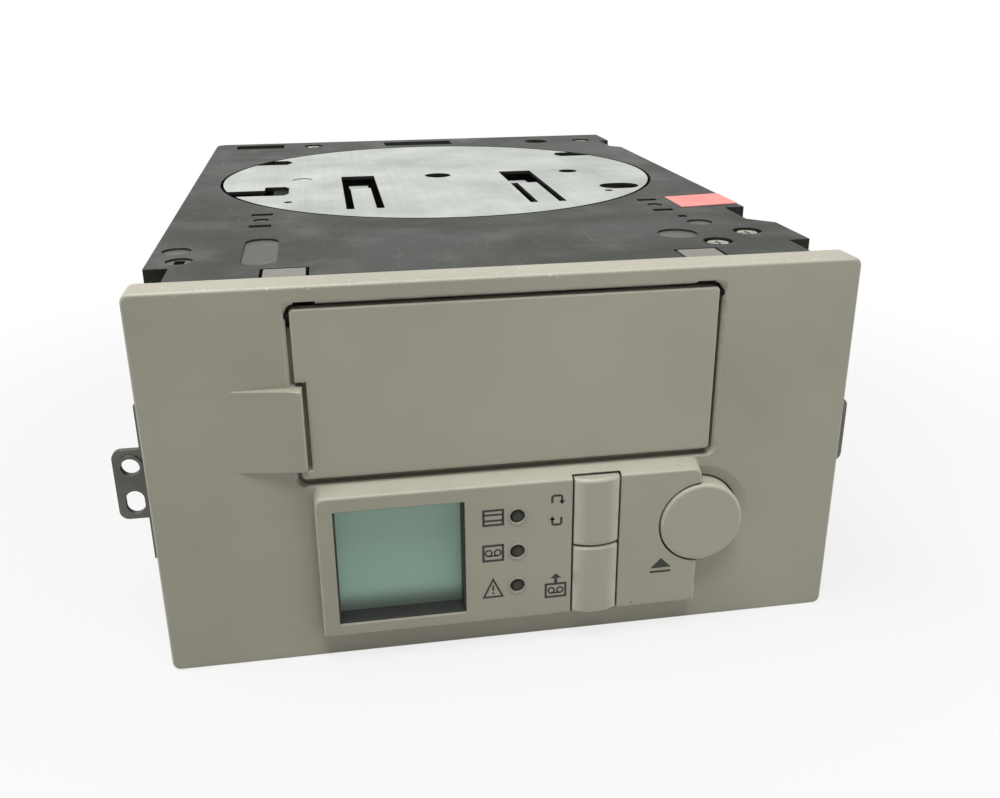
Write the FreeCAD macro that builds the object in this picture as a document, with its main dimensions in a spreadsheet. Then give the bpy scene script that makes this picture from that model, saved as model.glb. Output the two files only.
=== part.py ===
import FreeCAD, Part
import Sketcher
import math
import os
import re

# Tape autoloader for a full-height 5.25 inch drive bay.
# X runs right, Y runs back and Z runs up from the underside. Every depth in the sheet and in the
# pieces below is measured back from the bezel's front face, which lies front_y from the middle.

SIZES = {
    # Case
    "front_y": -103.6,
    "case_w": 146,
    "case_h": 82.5,
    "case_len": 212,
    "sheet": 1.2,
    "frame_t": 3,
    # Mounting holes of the bay standard, and the clearances used all over
    "bay_y": 47.4,
    "bay_pitch": 79.25,
    "bay_low": 9.9,
    "bay_rows": 11.9,
    "bay_bottom": 139.7,
    "tap_r": 1.25,
    "run_gap": 0.05,
    "fit_gap": 0.3,
    # Bezel
    "bezel_side": 1,
    "bezel_over": 1,
    "bezel_depth": 7.5,
    "bezel_wall": 2.5,
    "rim_wall": 2,
    "bezel_corner": 1.8,
    "bezel_edge": 0.7,
    "hook_x": 44.2,
    "hook_w": 8.6,
    "hook_len": 18,
    "hook_t": 1.7,
    # Magazine door and its opening
    "door_w": 86.9,
    "door_below": 4.7,
    "door_z": 42.6,
    "door_t": 2.5,
    "door_sink": 0.3,
    "door_gap": 0.8,
    "door_under": 1.5,
    "door_bevel": 0.65,
    "door_corner": 0.9,
    "door_edge": 0.5,
    "opening_corner": 1.8,
    "bevel_deep": 1.2,
    "hinge_drop": 1.4,
    "pin_r": 0.8,
    "pin_in": 4.5,
    "pin_out": 2.4,
    "lintel_t": 1.2,
    "lintel_in": 0.3,
    "relief_in": 1.7,
    "relief_w": 5.9,
    "relief_h": 0.7,
    "stop_over": 0.6,
    "stop_t": 0.9,
    "stop_in": 2,
    "stop_below": 4.3,
    # Key block beside the door
    "key_w": 14,
    "key_in": 1.35,
    "key_z": 45.4,
    "key_h": 17.5,
    "key_out": 2.2,
    "key_flat": 1,
    "key_edge": 0.4,
    # Raised console
    "console_left": -41.5,
    "console_w": 82.5,
    "console_z": 6.9,
    "console_h": 32.75,
    "console_out": 3.5,
    "console_wall": 2,
    "console_rise": 0.6,
    "console_roof": 1.6,
    "ledge_rise": 1.9,
    "console_corner": 2,
    "console_edge": 0.6,
    # Display and lamps
    "lcd_left": -38.05,
    "lcd_w": 27.3,
    "lcd_z": 9.5,
    "lcd_h": 27,
    "lcd_y": 1.5,
    "glass_t": 2,
    "lcd_lip": 0.3,
    "lcd_wall": 1.1,
    "led_x": 0.45,
    "led_z": 15.2,
    "led_pitch": 8.45,
    "led_r": 1.6,
    "lamp_t": 1.2,
    "lamp_h": 2,
    # Push buttons
    "press": 1.2,
    "cap_x": 17.65,
    "cap_w": 9.75,
    "cap_bulge": 1.3,
    "cap_low": 7,
    "cap_split": 23.7,
    "cap_top": 39.7,
    "cap_back": 0.2,
    "cap_edge": 0.8,
    "cap_gap": 0.45,
    "lip": 0.8,
    "lip_t": 1,
    "stem_r": 1.6,
    "stem_end": 5.2,
    "eject_x": 41.5,
    "eject_z": 26.7,
    "eject_r": 9.3,
    "eject_out": 3.9,
    "eject_edge": 0.9,
    "eject_gap": 0.4,
    "dish_r": 12,
    "dish_deep": 0.6,
    # Front panel board
    "board_left": -50,
    "board_right": 62,
    "board_z": 4.5,
    "board_top": 40.5,
    "board_y": 9,
    "board_t": 1.6,
    "boss_r": 2.6,
    "boss_in": 3.5,
    "boss_floor": 1,
    "screw_r": 1.2,
    "switch_w": 6,
    "switch_t": 2.6,
    "plunger_r": 1.2,
    "plunger_in": 0.6,
    "cable_left": -9,
    "cable_w": 14,
    "cable_t": 0.4,
    "header_lip": 1,
    "header_len": 3.5,
    "header_t": 3,
    "header_in": 1,
    "cable_bend": 2.5,
    # Ear brackets
    "ear_y": 15,
    "ear_t": 1.2,
    "ear_out": 10.2,
    "ear_low": 29.6,
    "ear_top": 45.8,
    "ear_corner": 2,
    "flange_out": 4.3,
    "flange_low": 19.5,
    "flange_top": 55.7,
    "leg_len": 30,
    "leg_in": 7,
    "ear_hole_out": 6.6,
    "ear_hole_z": 41.9,
    "ear_hole_r": 1.95,
    "ear_slot_z": 33.5,
    "ear_slot_len": 5.3,
    "dimple_r": 2.75,
    "dimple_t": 0.4,
    # Turntable
    "turn_back": 85,
    "turn_r": 64.5,
    "turn_gap": 0.9,
    "disc_t": 1,
    "base_r": 62,
    "base_z": 40,
    "base_t": 3,
    "hub_r": 12,
    "guide_x": 41.5,
    "guide_t": 2,
    "guide_len": 76,
    "guide_lip": 6,
    "spindle_r": 4,
    "bush_t": 2.5,
    "tongue_x": 24.6,
    "tongue_w": 5.8,
    "window_w": 10,
    "window_in": 48.8,
    "window_len": 52,
    "tongue_flat": 30.5,
    "tongue_run": 13.5,
    "tongue_drop": 2.4,
    "tongue_lip": 4.5,
    "disc_hole_x": 41.3,
    "disc_hole_r": 2.9,
    "peg_x": 44.9,
    "peg_in": 35.7,
    "peg_r": 1.2,
    "nick_x": 48.5,
    "nick_run": 2.7,
    "nick_in": 28.8,
    "nick_r": 4.4,
    "keyhole_x": 51.9,
    "keyhole_in": 20.7,
    "keyhole_neck": 8.4,
    "keyhole_front": 4.6,
    "keyhole_cut": 1.2,
    "keyhole_w": 6.9,
    "keyhole_len": 14,
    "rear_nick_x": 45,
    "rear_nick_back": 35.5,
    "rear_nick_w": 8.5,
    "rear_nick_cut": 1.5,
    # Deck and turntable drive
    "deck_z": 35,
    "deck_y": 63,
    "deck_back": 5,
    "deck_flange": 9,
    "deck_screw": 12,
    "deck_gap": 1.5,
    "motor_r": 8.5,
    "motor_len": 23,
    "motor_boss_r": 3.5,
    "shaft_r": 1.5,
    "shaft_in": 8,
    "turn_module": 1.5,
    "turn_teeth": 72,
    "turn_pinion": 10,
    "gear_t": 3,
    "gear_bore": 48,
    "pressure": 25,
    "addendum": 0.8,
    "dedendum": 1.05,
    "backlash": 0.2,
    # Cartridge lift
    "lift_in": 12.5,
    "lift_y": 38.5,
    "rod_x": 48,
    "rod_r": 2,
    "lift_z": 9,
    "lift_t": 2,
    "tray_w": 80,
    "tray_y": 21,
    "tray_len": 39,
    "tray_end": 2,
    "rail_t": 2,
    "rail_h": 4,
    "lug_gap": 5.8,
    "lug_len": 10,
    "lug_h": 8,
    "rod_bush": 1.5,
    "nut_r": 4,
    "screw_core": 2.4,
    "screw_out": 3,
    "groove_pitch": 4,
    "screw_low": 8.4,
    "screw_clear": 1.3,
    "journal_r": 2,
    "bush_h": 3,
    "nut_gap": 0.1,
    "lift_module": 0.8,
    "lift_teeth": 24,
    "lift_pinion": 12,
    "lift_gear_z": 4,
    "lift_gear_t": 4,
    "lift_motor_z": 10,
    "picker_w": 12,
    "picker_len": 10,
    "picker_h": 5,
    "picker_neck": 5.4,
    "picker_foot": 1.5,
    "picker_y": 24,
    "picker_reach": 3,
    # Tape drive
    "drive_w": 101.6,
    "drive_y": 64,
    "drive_back": 16,
    "drive_z": 7,
    "drive_h": 26,
    "drive_wall": 2,
    "mouth_w": 76,
    "mouth_z": 10,
    "mouth_h": 14.5,
    "reel_x": 15,
    "reel_y": 96,
    "reel_r": 9,
    "reel_pin": 1.5,
    "reel_t": 2,
    "reel_top": 15,
    "spigot_r": 3,
    "drum_y": 150,
    "drum_r": 15,
    "drum_split": 15,
    "drum_top": 27,
    "drum_axle": 3,
    "capstan_x": 25,
    "capstan_y": 122,
    "capstan_r": 1.5,
    "flywheel_r": 8,
    "flywheel_t": 2.5,
    "guide_post_r": 2,
    "post_top": 25,
    "post_x": 24,
    "post_y": 154,
    "entry_x": 36,
    "entry_y": 130,
    "leg_h": 22,
    "foot_w": 10,
    "foot_in": 6,
    # Controller board and rear
    "main_w": 92,
    "main_y": 72,
    "main_z": 3.2,
    "post_r": 2.5,
    "data_left": -42,
    "data_w": 58,
    "data_h": 10,
    "power_left": 22,
    "power_w": 22,
    "power_h": 12,
    "plug_len": 15,
    "flange_len": 17,
    "rear_tab_low": 44,
    "rear_tab_top": 70,
    "rear_screw": 6,
    "vent_w": 3,
    "vent_pitch": 6,
    "vent_count": 20,
    "vent_low": 38,
    "vent_top": 54,
    "plug_wall": 1.5,
    "plug_deep": 8,
    "main_in": 4,
    "post_in": 6,
    # Top frame
    "clip_in": 39.2,
    "clip_out": 49.2,
    "clip_y": 18.6,
    "corner_in": 5.1,
    "corner_y": 22.5,
    "step_one": 41,
    "step_one_end": 61,
    "step_one_in": 5.4,
    "step_two_back": 36,
    "step_two_end_back": 18,
    "step_two_in": 3.4,
    "skirt_t": 2,
    "skirt_h": 8,
    "skirt_y": 48,
    "skirt_back": 19,
    "recess": 0.45,
    "head_r": 3,
    "head_t": 1.2,
    "low_head": 0.8,
    "side_shank": 4,
    "shank_out": 2,
    "label_w": 16.1,
    "label_in": 63.6,
    "label_len": 14.4,
    "label_skew": 2.2,
    "label_t": 0.15,
    "tab_x": 45,
    "tab_y": 20,
    "tab_len": 26,
    "lid_pit_r": 3.4,
    "lid_pit_t": 1.8,
    "lid_head_r": 2.4,
    "lid_head_t": 1.4,
    "lid_screw_one_in": 10.5,
    "lid_screw_one_y": 33.4,
    "lid_screw_two_x": 52,
    "lid_screw_two_y": 24.8,
    "lid_screw_three_x": -37.8,
    "lid_screw_three_back": 9.7,
    "lid_screw_four_in": 9.9,
    "lid_screw_four_back": 14.8,
    "cross_w": 3.6,
    "cross_t": 0.7,
    "pill_x": -49.8,
    "pill_y": 25.8,
    "pill_len": 17.6,
    "pill_r": 3.8,
    "bar_x": 51.1,
    "bar_w": 5.4,
    "bar_t": 2.6,
    "bar_in": 67,
    "bar_pitch": 14,
    "dot_r": 2,
    "mark_one_in": 5,
    "mark_one_y": 38,
    "mark_one_r": 3.2,
    "mark_two_in": 6.6,
    "mark_two_y": 28.4,
    "mark_two_r": 2.9,
    "mark_three_x": 45.5,
    "mark_three_y": 34,
    "mark_three_r": 4.7,
    "mark_four_x": 55,
    "mark_four_y": 45,
    "mark_four_r": 3.1,
    "pip_x": 53.3,
    "pip_y": 52.7,
    "pip_w": 2.2,
    "pip_len": 4.4,
    "slit_x": 1,
    "slit_back": 10.2,
    "slit_w": 25,
    "slit_len": 9.5,
    "pit_x": -57,
    "pit_back": 9,
    "pit_w": 17,
    "pit_len": 9,
    "well_x": 45.7,
    "well_back": 14.4,
    "well_r": 4.3,
    "lid_cut": 0.8,
}

doc = FreeCAD.newDocument("tape_autoloader")
sheet = doc.addObject("Spreadsheet::Sheet", "sizes")
for row, (alias, number) in enumerate(SIZES.items(), 1):
    sheet.set("A%d" % row, alias)
    sheet.set("B%d" % row, str(number))
    sheet.setAlias("B%d" % row, alias)
doc.recompute()

WORD = re.compile(r"[a-z]+(?:_[a-z]+)*")
PIECES = []

# Places that follow the case, the door or the turntable when those change
PLACES = {
    "bezel_h": "(case_h + bezel_over)",
    "key_right": "(key_in - door_w/2)",
    "key_left": "(key_in - door_w/2 - key_w)",
    "ear_x": "(case_w/2 + ear_out)",
    "flange_x": "(case_w/2 + flange_out)",
    "ear_hole_x": "(case_w/2 + ear_hole_out)",
    "turn_y": "(case_len - turn_back)",
    "window_y": "(turn_y - window_in)",
    "peg_y": "(turn_y - peg_in)",
    "nick_y": "(turn_y - nick_in)",
    "keyhole_y": "(turn_y - keyhole_in)",
    "rear_nick_y": "(turn_y + rear_nick_back)",
    "label_y": "(turn_y - label_in)",
    "bar_y": "(turn_y - bar_in)",
    "deck_end": "(case_len - deck_back)",
    "drive_end": "(case_len - drive_back)",
    "lift_x": "(case_w/2 - lift_in)",
    "lug_x": "(case_w/2 - sheet - lug_gap)",
    "corner_x": "(case_w/2 - corner_in)",
    "step_two": "(case_len - step_two_back)",
    "step_two_end": "(case_len - step_two_end_back)",
    "skirt_end": "(case_len - skirt_back)",
    "lid_screw_one_x": "(case_w/2 - lid_screw_one_in)",
    "lid_screw_three_y": "(case_len - lid_screw_three_back)",
    "lid_screw_four_x": "(case_w/2 - lid_screw_four_in)",
    "lid_screw_four_y": "(case_len - lid_screw_four_back)",
    "slit_y": "(case_len - slit_back)",
    "pit_y": "(case_len - pit_back)",
    "well_y": "(case_len - well_back)",
    "mark_one_x": "(mark_one_in - case_w/2)",
    "mark_two_x": "(mark_two_in - case_w/2)",
}

# Texts that many pieces share
WALL_TOP = "(case_h - frame_t)"
SIDE = "(case_w/2)"
INNER = "(case_w/2 - sheet)"
DOOR_TOP = "(bezel_h - door_below)"
HINGE_Y = "(door_sink + door_t/2)"
HINGE_Z = "(bezel_h - door_below - hinge_drop)"
OPEN_X = "(door_w/2 + door_gap)"
CONSOLE_RIGHT = "(console_left + console_w)"
CONSOLE_BACK = "(console_wall - console_out)"
DECK_TOP = "(deck_z + sheet)"
FLOOR = "(base_z + base_t)"
TABLE_TOP = "(case_h - disc_t)"
PINION_X = "((turn_teeth + turn_pinion)*turn_module/2)"
LIFT_MOTOR_Y = "(lift_y + (lift_teeth + lift_pinion)*lift_module/2)"
DRIVE_FLOOR = "(drive_z + drive_wall)"
DRIVE_TOP = "(drive_z + drive_h)"
MAIN_TOP = "(main_z + board_t)"
BOSSES = [(x, z) for x in ("(board_left + boss_in)", "(board_right - boss_in)")
          for z in ("(board_z + boss_in)", "(board_top - boss_in)")]
SWITCHES = {
    "eject": ("eject_x", "eject_z"),
    "upper": ("cap_x", "(cap_split + cap_top)/2"),
    "lower": ("cap_x", "(cap_low + cap_split)/2"),
}
TOP_SCREWS = [("lid_screw_%s_x" % end, "lid_screw_%s_y" % end) for end in ("one", "two", "three", "four")]


def num(name):
    """The number a sheet cell holds."""
    return float(getattr(sheet, name))


def point_at_sheet(match):
    """A size or place name as the expression engine needs it."""
    word = match.group()
    if word in PLACES:
        return WORD.sub(point_at_sheet, PLACES[word])
    return "sizes." + word if word in SIZES else word


def bind(obj, prop, text):
    """Let an expression over the sheet drive a property."""
    obj.setExpression(prop, WORD.sub(point_at_sheet, text))


def finish(obj, label):
    """Name a finished piece and keep it for the export."""
    obj.Label = label
    PIECES.append(obj)
    return obj


def box(name, x, y, z):
    """A block between two places on each axis."""
    block = doc.addObject("Part::Box", name)
    for side, axis, (low, high) in (("Length", "x", x), ("Width", "y", y), ("Height", "z", z)):
        start = "front_y + %s" % low if axis == "y" else low
        bind(block, "Placement.Base." + axis, start)
        bind(block, side, "(%s) - (%s)" % (high, low))
    return block


TURNS = {
    "x": FreeCAD.Rotation(FreeCAD.Vector(0, 1, 0), 90),
    "y": FreeCAD.Rotation(FreeCAD.Vector(1, 0, 0), -90),
    "z": FreeCAD.Rotation(),
}


def rod(name, axis, at, radius, end, kind="Part::Cylinder"):
    """A cylinder from a point to an end place along one axis."""
    shape = doc.addObject(kind, name)
    shape.Placement.Rotation = TURNS[axis]
    for letter, place in zip("xyz", at):
        start = "front_y + %s" % place if letter == "y" else place
        bind(shape, "Placement.Base." + letter, start)
    bind(shape, "Height", "(%s) - (%s)" % (end, at["xyz".index(axis)]))
    if kind == "Part::Cylinder":
        bind(shape, "Radius", radius)
    else:
        bind(shape, "Radius1", radius[0])
        bind(shape, "Radius2", radius[1])
    return shape


def wedge(name, x, y, z, far_x, far_z):
    """A block whose far face, at the end of its Y span, has its own X and Z spans."""
    shape = doc.addObject("Part::Wedge", name)
    spans = (("X", "", x), ("Y", "", y), ("Z", "", z), ("X", "2", far_x), ("Z", "2", far_z))
    for axis, far, (low, high) in spans:
        bind(shape, axis + far + "min", low)
        bind(shape, axis + far + "max", high)
    bind(shape, "Placement.Base.y", "front_y")
    return shape


def fuse(name, parts):
    """Several solids joined into one."""
    joined = doc.addObject("Part::MultiFuse", name)
    joined.Shapes = parts
    joined.Refine = True
    return joined


def cut(name, base, tools):
    """A solid with the tools taken out of it."""
    result = doc.addObject("Part::Cut", name)
    result.Base = base
    result.Tool = tools[0] if len(tools) == 1 else fuse(name + "_tools", tools)
    result.Refine = True
    return result


def common(name, parts):
    """What two solids share."""
    shared = doc.addObject("Part::Common", name)
    shared.Base, shared.Tool = parts
    return shared


def group(name, parts):
    """Separate solids of the same kind kept together."""
    bundle = doc.addObject("Part::Compound", name)
    bundle.Links = parts
    return bundle


def edge_numbers(shape, wanted):
    """Numbers of the edges whose box answers the test."""
    return [i for i, edge in enumerate(shape.Edges, 1) if wanted(edge.BoundBox)]


def round_edges(name, base, radius, wanted):
    """Round the chosen edges of a solid."""
    doc.recompute()
    rounded = doc.addObject("Part::Fillet", name)
    rounded.Base = base
    size = num(radius)
    rounded.Edges = [(i, size, size) for i in edge_numbers(base.Shape, wanted)]
    return rounded


def rect(x, y):
    """A rectangle as corner points."""
    return [(x[0], y[0]), (x[1], y[0]), (x[1], y[1]), (x[0], y[1])]


class Body:
    """A piece made of sketches that are padded and pocketed in turn."""

    PLANES = {"XY": "XY_Plane", "XZ": "XZ_Plane", "YZ": "YZ_Plane"}

    def __init__(self, label):
        self.body = finish(doc.addObject("PartDesign::Body", label), label)
        bind(self.body, "Placement.Base.y", "front_y")
        self.count = 0

    def sketch(self, plane, offset, loops):
        self.count += 1
        drawn = self.body.newObject("Sketcher::SketchObject",
                                    "%s_outline_%d" % (self.body.Name, self.count))
        origin = [o for o in self.body.Origin.OriginFeatures if o.Role == self.PLANES[plane]]
        drawn.AttachmentSupport = [(origin[0], "")]
        drawn.MapMode = "FlatFace"
        bind(drawn, "AttachmentOffset.Base.z", offset)
        for loop in loops:
            if loop[0] == "circle":
                self.circle(drawn, loop[1:])
            else:
                self.polygon(drawn, loop)
        return drawn

    def hold(self, drawn, kind, where, text):
        """One driven distance of a sketch."""
        index = drawn.addConstraint(Sketcher.Constraint(kind, *where, 1.0))
        bind(drawn, "Constraints[%d]" % index, text)

    def circle(self, drawn, values):
        x, y, radius = values
        item = drawn.addGeometry(Part.Circle(), False)
        self.hold(drawn, "DistanceX", (-1, 1, item, 3), x)
        self.hold(drawn, "DistanceY", (-1, 1, item, 3), y)
        self.hold(drawn, "Radius", (item,), radius)

    def polygon(self, drawn, points):
        count = len(points)
        first = drawn.GeometryCount
        start = [FreeCAD.Vector(math.cos(math.tau*i/count), math.sin(math.tau*i/count), 0)
                 for i in range(count)]
        for i in range(count):
            drawn.addGeometry(Part.LineSegment(start[i], start[(i + 1) % count]), False)
        for i in range(count):
            drawn.addConstraint(Sketcher.Constraint("Coincident", first + i, 2, first + (i + 1) % count,
                                                    1))
        for i, (x, y) in enumerate(points):
            self.hold(drawn, "DistanceX", (-1, 1, first + i, 1), x)
            self.hold(drawn, "DistanceY", (-1, 1, first + i, 1), y)

    def feature(self, kind, plane, place, span, loops):
        offset = "-(%s)" % place if plane == "XZ" else place
        drawn = self.sketch(plane, offset, loops)
        made = self.body.newObject("PartDesign::" + kind,
                                   "%s_%s_%d" % (self.body.Name, kind.lower(), self.count))
        made.Profile = drawn
        bind(made, "Length", "(%s) - (%s)" % (span[1], span[0]))
        self.body.Tip = made
        return self

    def pad(self, plane, span, *loops):
        """Add material between two places along the plane's own axis."""
        return self.feature("Pad", plane, span[1] if plane == "XZ" else span[0], span, loops)

    def pocket(self, plane, span, *loops):
        """Take material out between two places along the plane's own axis."""
        return self.feature("Pocket", plane, span[0] if plane == "XZ" else span[1], span, loops)

    def fillet(self, radius, wanted):
        """Round the chosen edges of what is there so far, seen in the piece's own axes."""
        doc.recompute()
        tip = self.body.Tip
        made = self.body.newObject("PartDesign::Fillet", "%s_fillet_%d" % (self.body.Name, self.count))
        made.Base = (tip, ["Edge%d" % i for i in edge_numbers(tip.Shape, wanted)])
        bind(made, "Radius", radius)
        self.body.Tip = made
        return self


def along(axis, box_of_edge, tolerance=0.001):
    """True for a straight edge that runs along one axis only."""
    spans = {"x": box_of_edge.XLength, "y": box_of_edge.YLength, "z": box_of_edge.ZLength}
    return all((value > tolerance) == (name == axis) for name, value in spans.items())


# Chassis pan: folded steel floor and side walls, with bent tabs that carry the top frame
pan = Body("chassis_pan")
pan.pad("XZ", ("bezel_depth", "case_len - sheet"), [
    ("-" + SIDE, "0"), (SIDE, "0"), (SIDE, WALL_TOP), (INNER, WALL_TOP),
    (INNER, "sheet"), ("-" + INNER, "sheet"), ("-" + INNER, WALL_TOP), ("-" + SIDE, WALL_TOP)])
pan.pad("XY", (WALL_TOP + " - sheet", WALL_TOP),
        rect(("tab_x", INNER), ("tab_y", "tab_y + tab_len")),
        rect(("-" + INNER, "-lift_x + lug_len"), ("tab_y", "tab_y + tab_len")))
BAY_ROWS = [("bezel_depth + bay_y + %d*bay_pitch" % i) for i in range(2)]
pan.pocket("YZ", ("-case_w", "case_w"),
           *[("circle", y, "bay_low + %d*bay_rows" % k, "tap_r") for y in BAY_ROWS for k in range(2)])
pan.pocket("XY", ("-sheet", "2*sheet"),
           *[("circle", side + "bay_bottom/2", y, "tap_r") for y in BAY_ROWS for side in ("-", "")])
SIDE_SCREWS = [("deck_y + deck_screw", "deck_z - deck_flange/2"),
               ("deck_end - deck_screw", "deck_z - deck_flange/2"),
               ("case_len - flange_len/2", "rear_tab_low + rear_screw"),
               ("case_len - flange_len/2", "rear_tab_top - rear_screw")]
pan.pocket("YZ", ("-case_w", "case_w"), *[("circle", y, z, "screw_r + run_gap") for y, z in SIDE_SCREWS])
pan.pocket("XY", (WALL_TOP + " - 2*sheet", WALL_TOP),
           *[("circle", x, y, "tap_r + run_gap") for x, y in TOP_SCREWS[:2]])
LEG_SCREWS = [("ear_y + leg_len - leg_in", "flange_low + leg_in"),
              ("ear_y + leg_len - leg_in", "flange_top - leg_in")]
pan.pocket("YZ", ("-case_w", "case_w"), *[("circle", y, z, "screw_r + run_gap") for y, z in LEG_SCREWS])

# Rear panel: steel sheet with the plug openings, vents and flanges for the top frame and walls
rear = Body("rear_panel")
REAR = ("case_len - sheet", "case_len")
rear.pad("XZ", REAR, rect(("-" + SIDE, SIDE), ("0", WALL_TOP)))
rear.pad("XY", (WALL_TOP + " - sheet", WALL_TOP),
         rect(("-" + INNER, INNER), ("case_len - flange_len", "case_len - sheet")))
for side in ("-", ""):
    span = ("%s - sheet" % INNER, INNER) if side == "" else ("-" + INNER, "-%s + sheet" % INNER)
    rear.pad("YZ", span, rect(("case_len - flange_len", "case_len - sheet"),
                              ("rear_tab_low", "rear_tab_top")))
PLUGS = {"data": ("data_left", "data_left + data_w", "data_h"),
         "power": ("power_left", "power_left + power_w", "power_h")}
rear.pocket("XZ", REAR, *[
    rect(("%s - fit_gap" % low, "%s + fit_gap" % high),
         (MAIN_TOP + " - fit_gap", "%s + %s + fit_gap" % (MAIN_TOP, tall)))
    for low, high, tall in PLUGS.values()])
vents = ["(%d - (vent_count - 1)/2)*vent_pitch" % i for i in range(int(num("vent_count")))]
rear.pocket("XZ", REAR, *[rect((x + " - vent_w/2", x + " + vent_w/2"), ("vent_low", "vent_top"))
                          for x in vents])
rear.pocket("YZ", ("-case_w", "case_w"),
            *[("circle", y, z, "screw_r + run_gap") for y, z in SIDE_SCREWS[2:]])
rear.pocket("XY", (WALL_TOP + " - 2*sheet", WALL_TOP),
            *[("circle", x, y, "tap_r + run_gap") for x, y in TOP_SCREWS[2:]])

# Top frame: the dark moulded lid around the turntable, with skirts inside the side walls
FRAME_FRONT = "bezel_depth + fit_gap"
frame = Body("top_frame")
frame.pad("XY", (WALL_TOP, "case_h"), [
    ("-corner_x", FRAME_FRONT), ("-clip_out", FRAME_FRONT), ("-clip_out", "clip_y"),
    ("-clip_in", "clip_y"), ("-clip_in", FRAME_FRONT), ("clip_in", FRAME_FRONT),
    ("clip_in", "clip_y"), ("clip_out", "clip_y"), ("clip_out", FRAME_FRONT),
    ("corner_x", FRAME_FRONT), ("corner_x", "corner_y"), (SIDE, "corner_y"),
    (SIDE, "step_one"), (SIDE + " - step_one_in", "step_one + step_one_in"),
    (SIDE + " - step_one_in", "step_one_end"), (SIDE, "step_one_end"),
    (SIDE, "step_two"), (SIDE + " - step_two_in", "step_two + step_two_in"),
    (SIDE + " - step_two_in", "step_two_end"), (SIDE, "step_two_end"),
    (SIDE, "case_len"), ("3*lid_cut - " + SIDE, "case_len"), ("lid_cut - " + SIDE, "case_len - 1.5*lid_cut"),
    ("-" + SIDE, "case_len - 4*lid_cut"), ("-" + SIDE, "corner_y"), ("-corner_x", "corner_y")],
    ("circle", "0", "turn_y", "turn_r + turn_gap"))
SKIRT_X = "(%s - fit_gap)" % INNER
frame.pad("XY", (WALL_TOP + " - skirt_h", WALL_TOP),
          rect(("-" + SKIRT_X, "-%s + skirt_t" % SKIRT_X), ("skirt_y", "skirt_end")),
          rect(("%s - skirt_t" % SKIRT_X, SKIRT_X), ("skirt_y", "skirt_end")))
SHALLOW = ("case_h - recess", "case_h")
PILL_END = "pill_y + pill_len"
frame.pocket("XY", SHALLOW, rect(("pill_x - pill_r", "pill_x + pill_r"), ("pill_y", PILL_END)),
             *[("circle", x, "bar_y + bar_t/2 + bar_pitch/2", "dot_r") for x in ("-bar_x", "bar_x")])
frame.pocket("XY", ("case_h - 2*recess", "case_h"),
             *[rect((x + " - bar_w/2", x + " + bar_w/2"), (y, y + " + bar_t"))
               for x in ("-bar_x", "bar_x") for y in ("bar_y", "bar_y + bar_pitch")])
frame.pocket("XY", SHALLOW, ("circle", "pill_x", "pill_y", "pill_r"),
             ("circle", "pill_x", PILL_END, "pill_r"),
             *[("circle", "mark_%s_x" % end, "mark_%s_y" % end, "mark_%s_r" % end)
               for end in ("one", "two", "three", "four")])
frame.pocket("XY", ("case_h - lid_pit_t", "case_h"), ("circle", "well_x", "well_y", "well_r"),
             *[("circle", x, y, "lid_pit_r") for x, y in TOP_SCREWS])
PIT = {name: rect(("%s_x - %s_w/2" % (name, name), "%s_x + %s_w/2" % (name, name)),
                  ("%s_y - %s_len/2" % (name, name),
                   "%s_y + %s_len/2" % (name, name))) for name in ("slit", "pit")}
frame.pocket("XY", (WALL_TOP, "case_h"), PIT["slit"],
             *[rect((x + " - pip_w/2", x + " + pip_w/2"), (y + " - %s/2" % run, y + " + %s/2" % run))
               for x, y, run in (("mark_two_x", "mark_two_y", "pip_len"), ("pip_x", "pip_y", "pip_w"))],
             *[("circle", x, y, "tap_r + fit_gap") for x, y in TOP_SCREWS])
frame.pocket("XY", ("case_h - lid_pit_t", "case_h"), PIT["pit"])

# Deck: the folded shelf between the drive below and the turntable above
deck = Body("mid_deck")
deck.pad("XZ", ("deck_y", "deck_end"), [
    ("-" + INNER, "deck_z - deck_flange"), ("-%s + sheet" % INNER, "deck_z - deck_flange"),
    ("-%s + sheet" % INNER, "deck_z"), ("%s - sheet" % INNER, "deck_z"),
    ("%s - sheet" % INNER, "deck_z - deck_flange"), (INNER, "deck_z - deck_flange"),
    (INNER, DECK_TOP), ("-" + INNER, DECK_TOP)])
deck.pad("XY", ("deck_z", DECK_TOP),
         rect(("rod_x + 2*deck_gap", INNER), ("lift_y + lug_len/2 + deck_gap", "deck_y + 1")))
deck.pocket("XY", ("deck_z - sheet", DECK_TOP), ("circle", "0", "turn_y", "spindle_r + run_gap"),
            ("circle", PINION_X, "turn_y", "motor_boss_r + run_gap"),
            ("circle", "lift_x", LIFT_MOTOR_Y, "motor_boss_r + run_gap"))
deck.pocket("YZ", ("-case_w", "case_w"),
            *[("circle", y, z, "screw_r + run_gap") for y, z in SIDE_SCREWS[:2]])

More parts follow.
